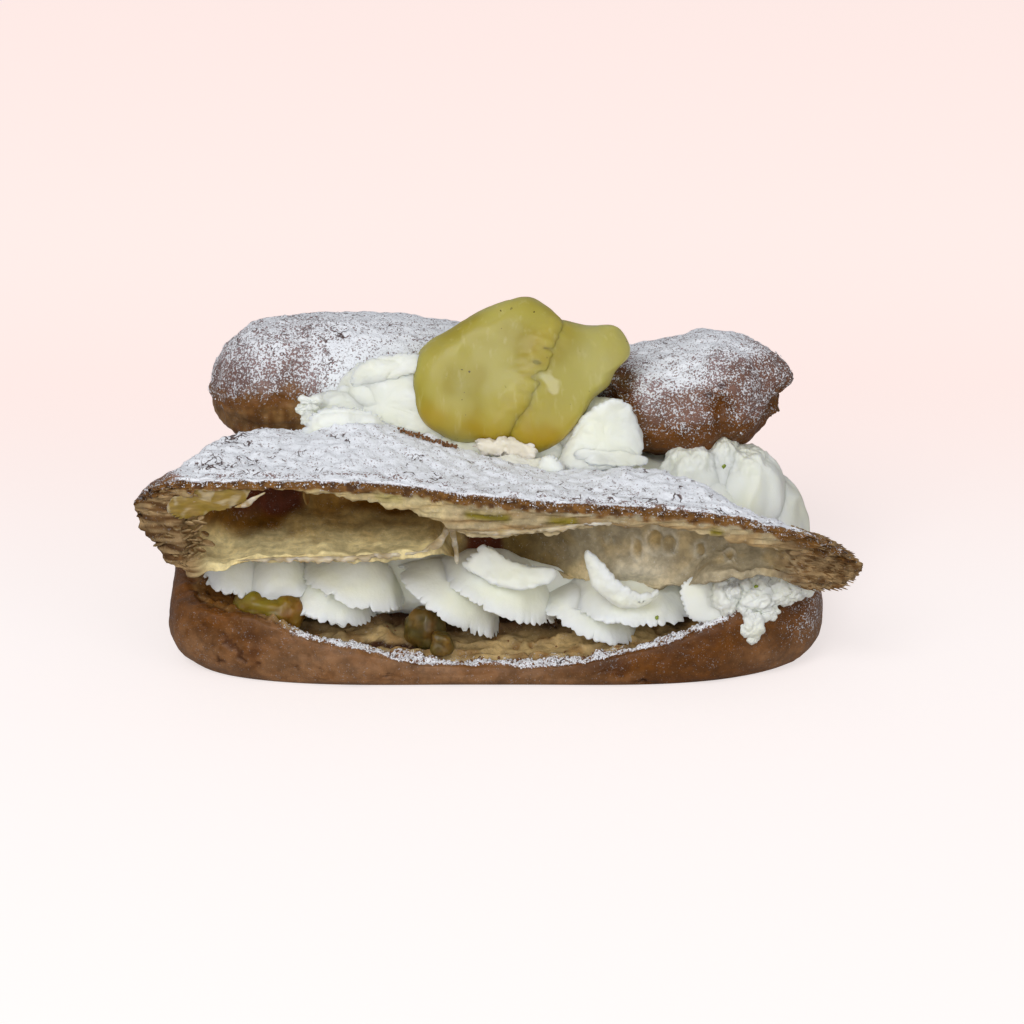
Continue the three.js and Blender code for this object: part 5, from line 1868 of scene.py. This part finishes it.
dice = np.random.default_rng(208)
strip = mix(STRIP_START, STRIP_END, dice.uniform(size=(STRIP_CRUMBS, 1)))
strip = strip + dice.normal(0, STRIP_SPREAD, (STRIP_CRUMBS, 3))
make_piece("herb_flecks", few_bits(FLECKS, FLECK_SIZE, 207), herb, "cream")
make_piece("torn_crumbs", few_bits(strip, STRIP_CRUMB_SIZE, 209), crumb_bits, "choux")

# %% [markdown]
# ## Floor, light and camera
#
# A pale floor, a large soft light high on the left, weaker ones in front and on the right, and a
# bright surround. The floor glows a little for the camera alone, so it stays pale without lighting
# the puff from below. The camera looks down at 22 degrees along the puff's short side, the slope
# that the heights inside the lid were read at.

# %% The floor
FLOOR_NEAR, FLOOR_FAR = colour(255, 247, 245), colour(255, 235, 230)
FLOOR_HALF = 3

floor_mesh = bpy.data.meshes.new("floor")
corners = [(x * FLOOR_HALF, y * FLOOR_HALF, 0) for x, y in ((-1, -1), (1, -1), (1, 1), (-1, 1))]
floor_mesh.from_pydata(corners, [], [(0, 1, 2, 3)])
floor = bpy.data.objects.new("floor", floor_mesh)
bpy.context.scene.collection.objects.link(floor)
floor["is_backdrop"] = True
paper, tree, shader = new_material("pale_floor", roughness=0.9, specular_ior_level=0.05)
depth = add_node(tree, "ShaderNodeSeparateXYZ", {0: object_place(tree)}).outputs["Y"]
paper_colour = blend_colours(tree, ramp(tree, depth, -0.02, 0.16), FLOOR_NEAR, FLOOR_FAR)
tree.links.new(scaled(tree, paper_colour, 0.5), shader.inputs["Base Color"])
tree.links.new(paper_colour, shader.inputs["Emission Color"])
seen = add_node(tree, "ShaderNodeLightPath").outputs["Is Camera Ray"]
glow = times(tree, seen, ramp(tree, depth, 0.0, 0.3, 0.66, 0.76))
tree.links.new(glow, shader.inputs["Emission Strength"])
floor_mesh.materials.append(paper)
print("floor:", 2 * FLOOR_HALF, "m square")

# %% The surround and the lights
SURROUND_COLOUR, SURROUND_STRENGTH = colour(240, 240, 244), 0.42
LIGHTS = {  # place, size and power
    "key": ((-0.35, -0.7, 0.75), 0.5, 3.9),
    "front": ((-0.1, -0.8, 0.2), 0.5, 1.5),
    "fill": ((0.6, -0.7, 0.35), 0.6, 1.4),
}
LIT_POINT = np.array([0, 0, 0.03])

world = bpy.data.worlds.new("surround")
bpy.context.scene.world = world
world.use_nodes = True
world.node_tree.nodes["Background"].inputs["Color"].default_value = SURROUND_COLOUR
world.node_tree.nodes["Background"].inputs["Strength"].default_value = SURROUND_STRENGTH


def soft_light(name, place, size, power):
    """A square area light that faces the middle of the puff."""
    light = bpy.data.lights.new(name, "AREA")
    light.size, light.energy = size, power
    lamp = bpy.data.objects.new(name, light)
    lamp.location = place
    x, y, z = LIT_POINT - np.array(place)
    lamp.rotation_euler = (math.atan2(math.hypot(x, y), -z), 0, math.atan2(y, x) - math.pi / 2)
    bpy.context.scene.collection.objects.link(lamp)


for name, light in LIGHTS.items():
    soft_light(name, *light)
bpy.context.scene.view_settings.view_transform = "Standard"
print("lights:", list(LIGHTS))

# %% The camera
VIEW_DISTANCE = 0.6
TARGET = np.array([0.0027, 0.0, 0.024])
SENSOR_MM, LENS_MM = 36, 105.9

camera_data = bpy.data.cameras.new("camera")
camera_data.sensor_width = SENSOR_MM
camera_data.lens = LENS_MM
camera = bpy.data.objects.new("camera", camera_data)
tip = math.radians(VIEW_DEGREES)
camera.location = TARGET + VIEW_DISTANCE * np.array([0, -math.cos(tip), math.sin(tip)])
camera.rotation_euler = (math.pi / 2 - tip, 0, 0)
bpy.context.scene.collection.objects.link(camera)
bpy.context.scene.camera = camera
print("camera at", [round(v, 3) for v in camera.location])

# %% [markdown]
# ## Print the size and finish
#
# The box round all the finer skins is printed. They may stand a little proud of the solids.

# %% Print the box and finish
bpy.context.view_layer.update()
low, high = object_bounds()
print("box of the puff:", [round(v * 1000, 1) for v in (*low, *high)])
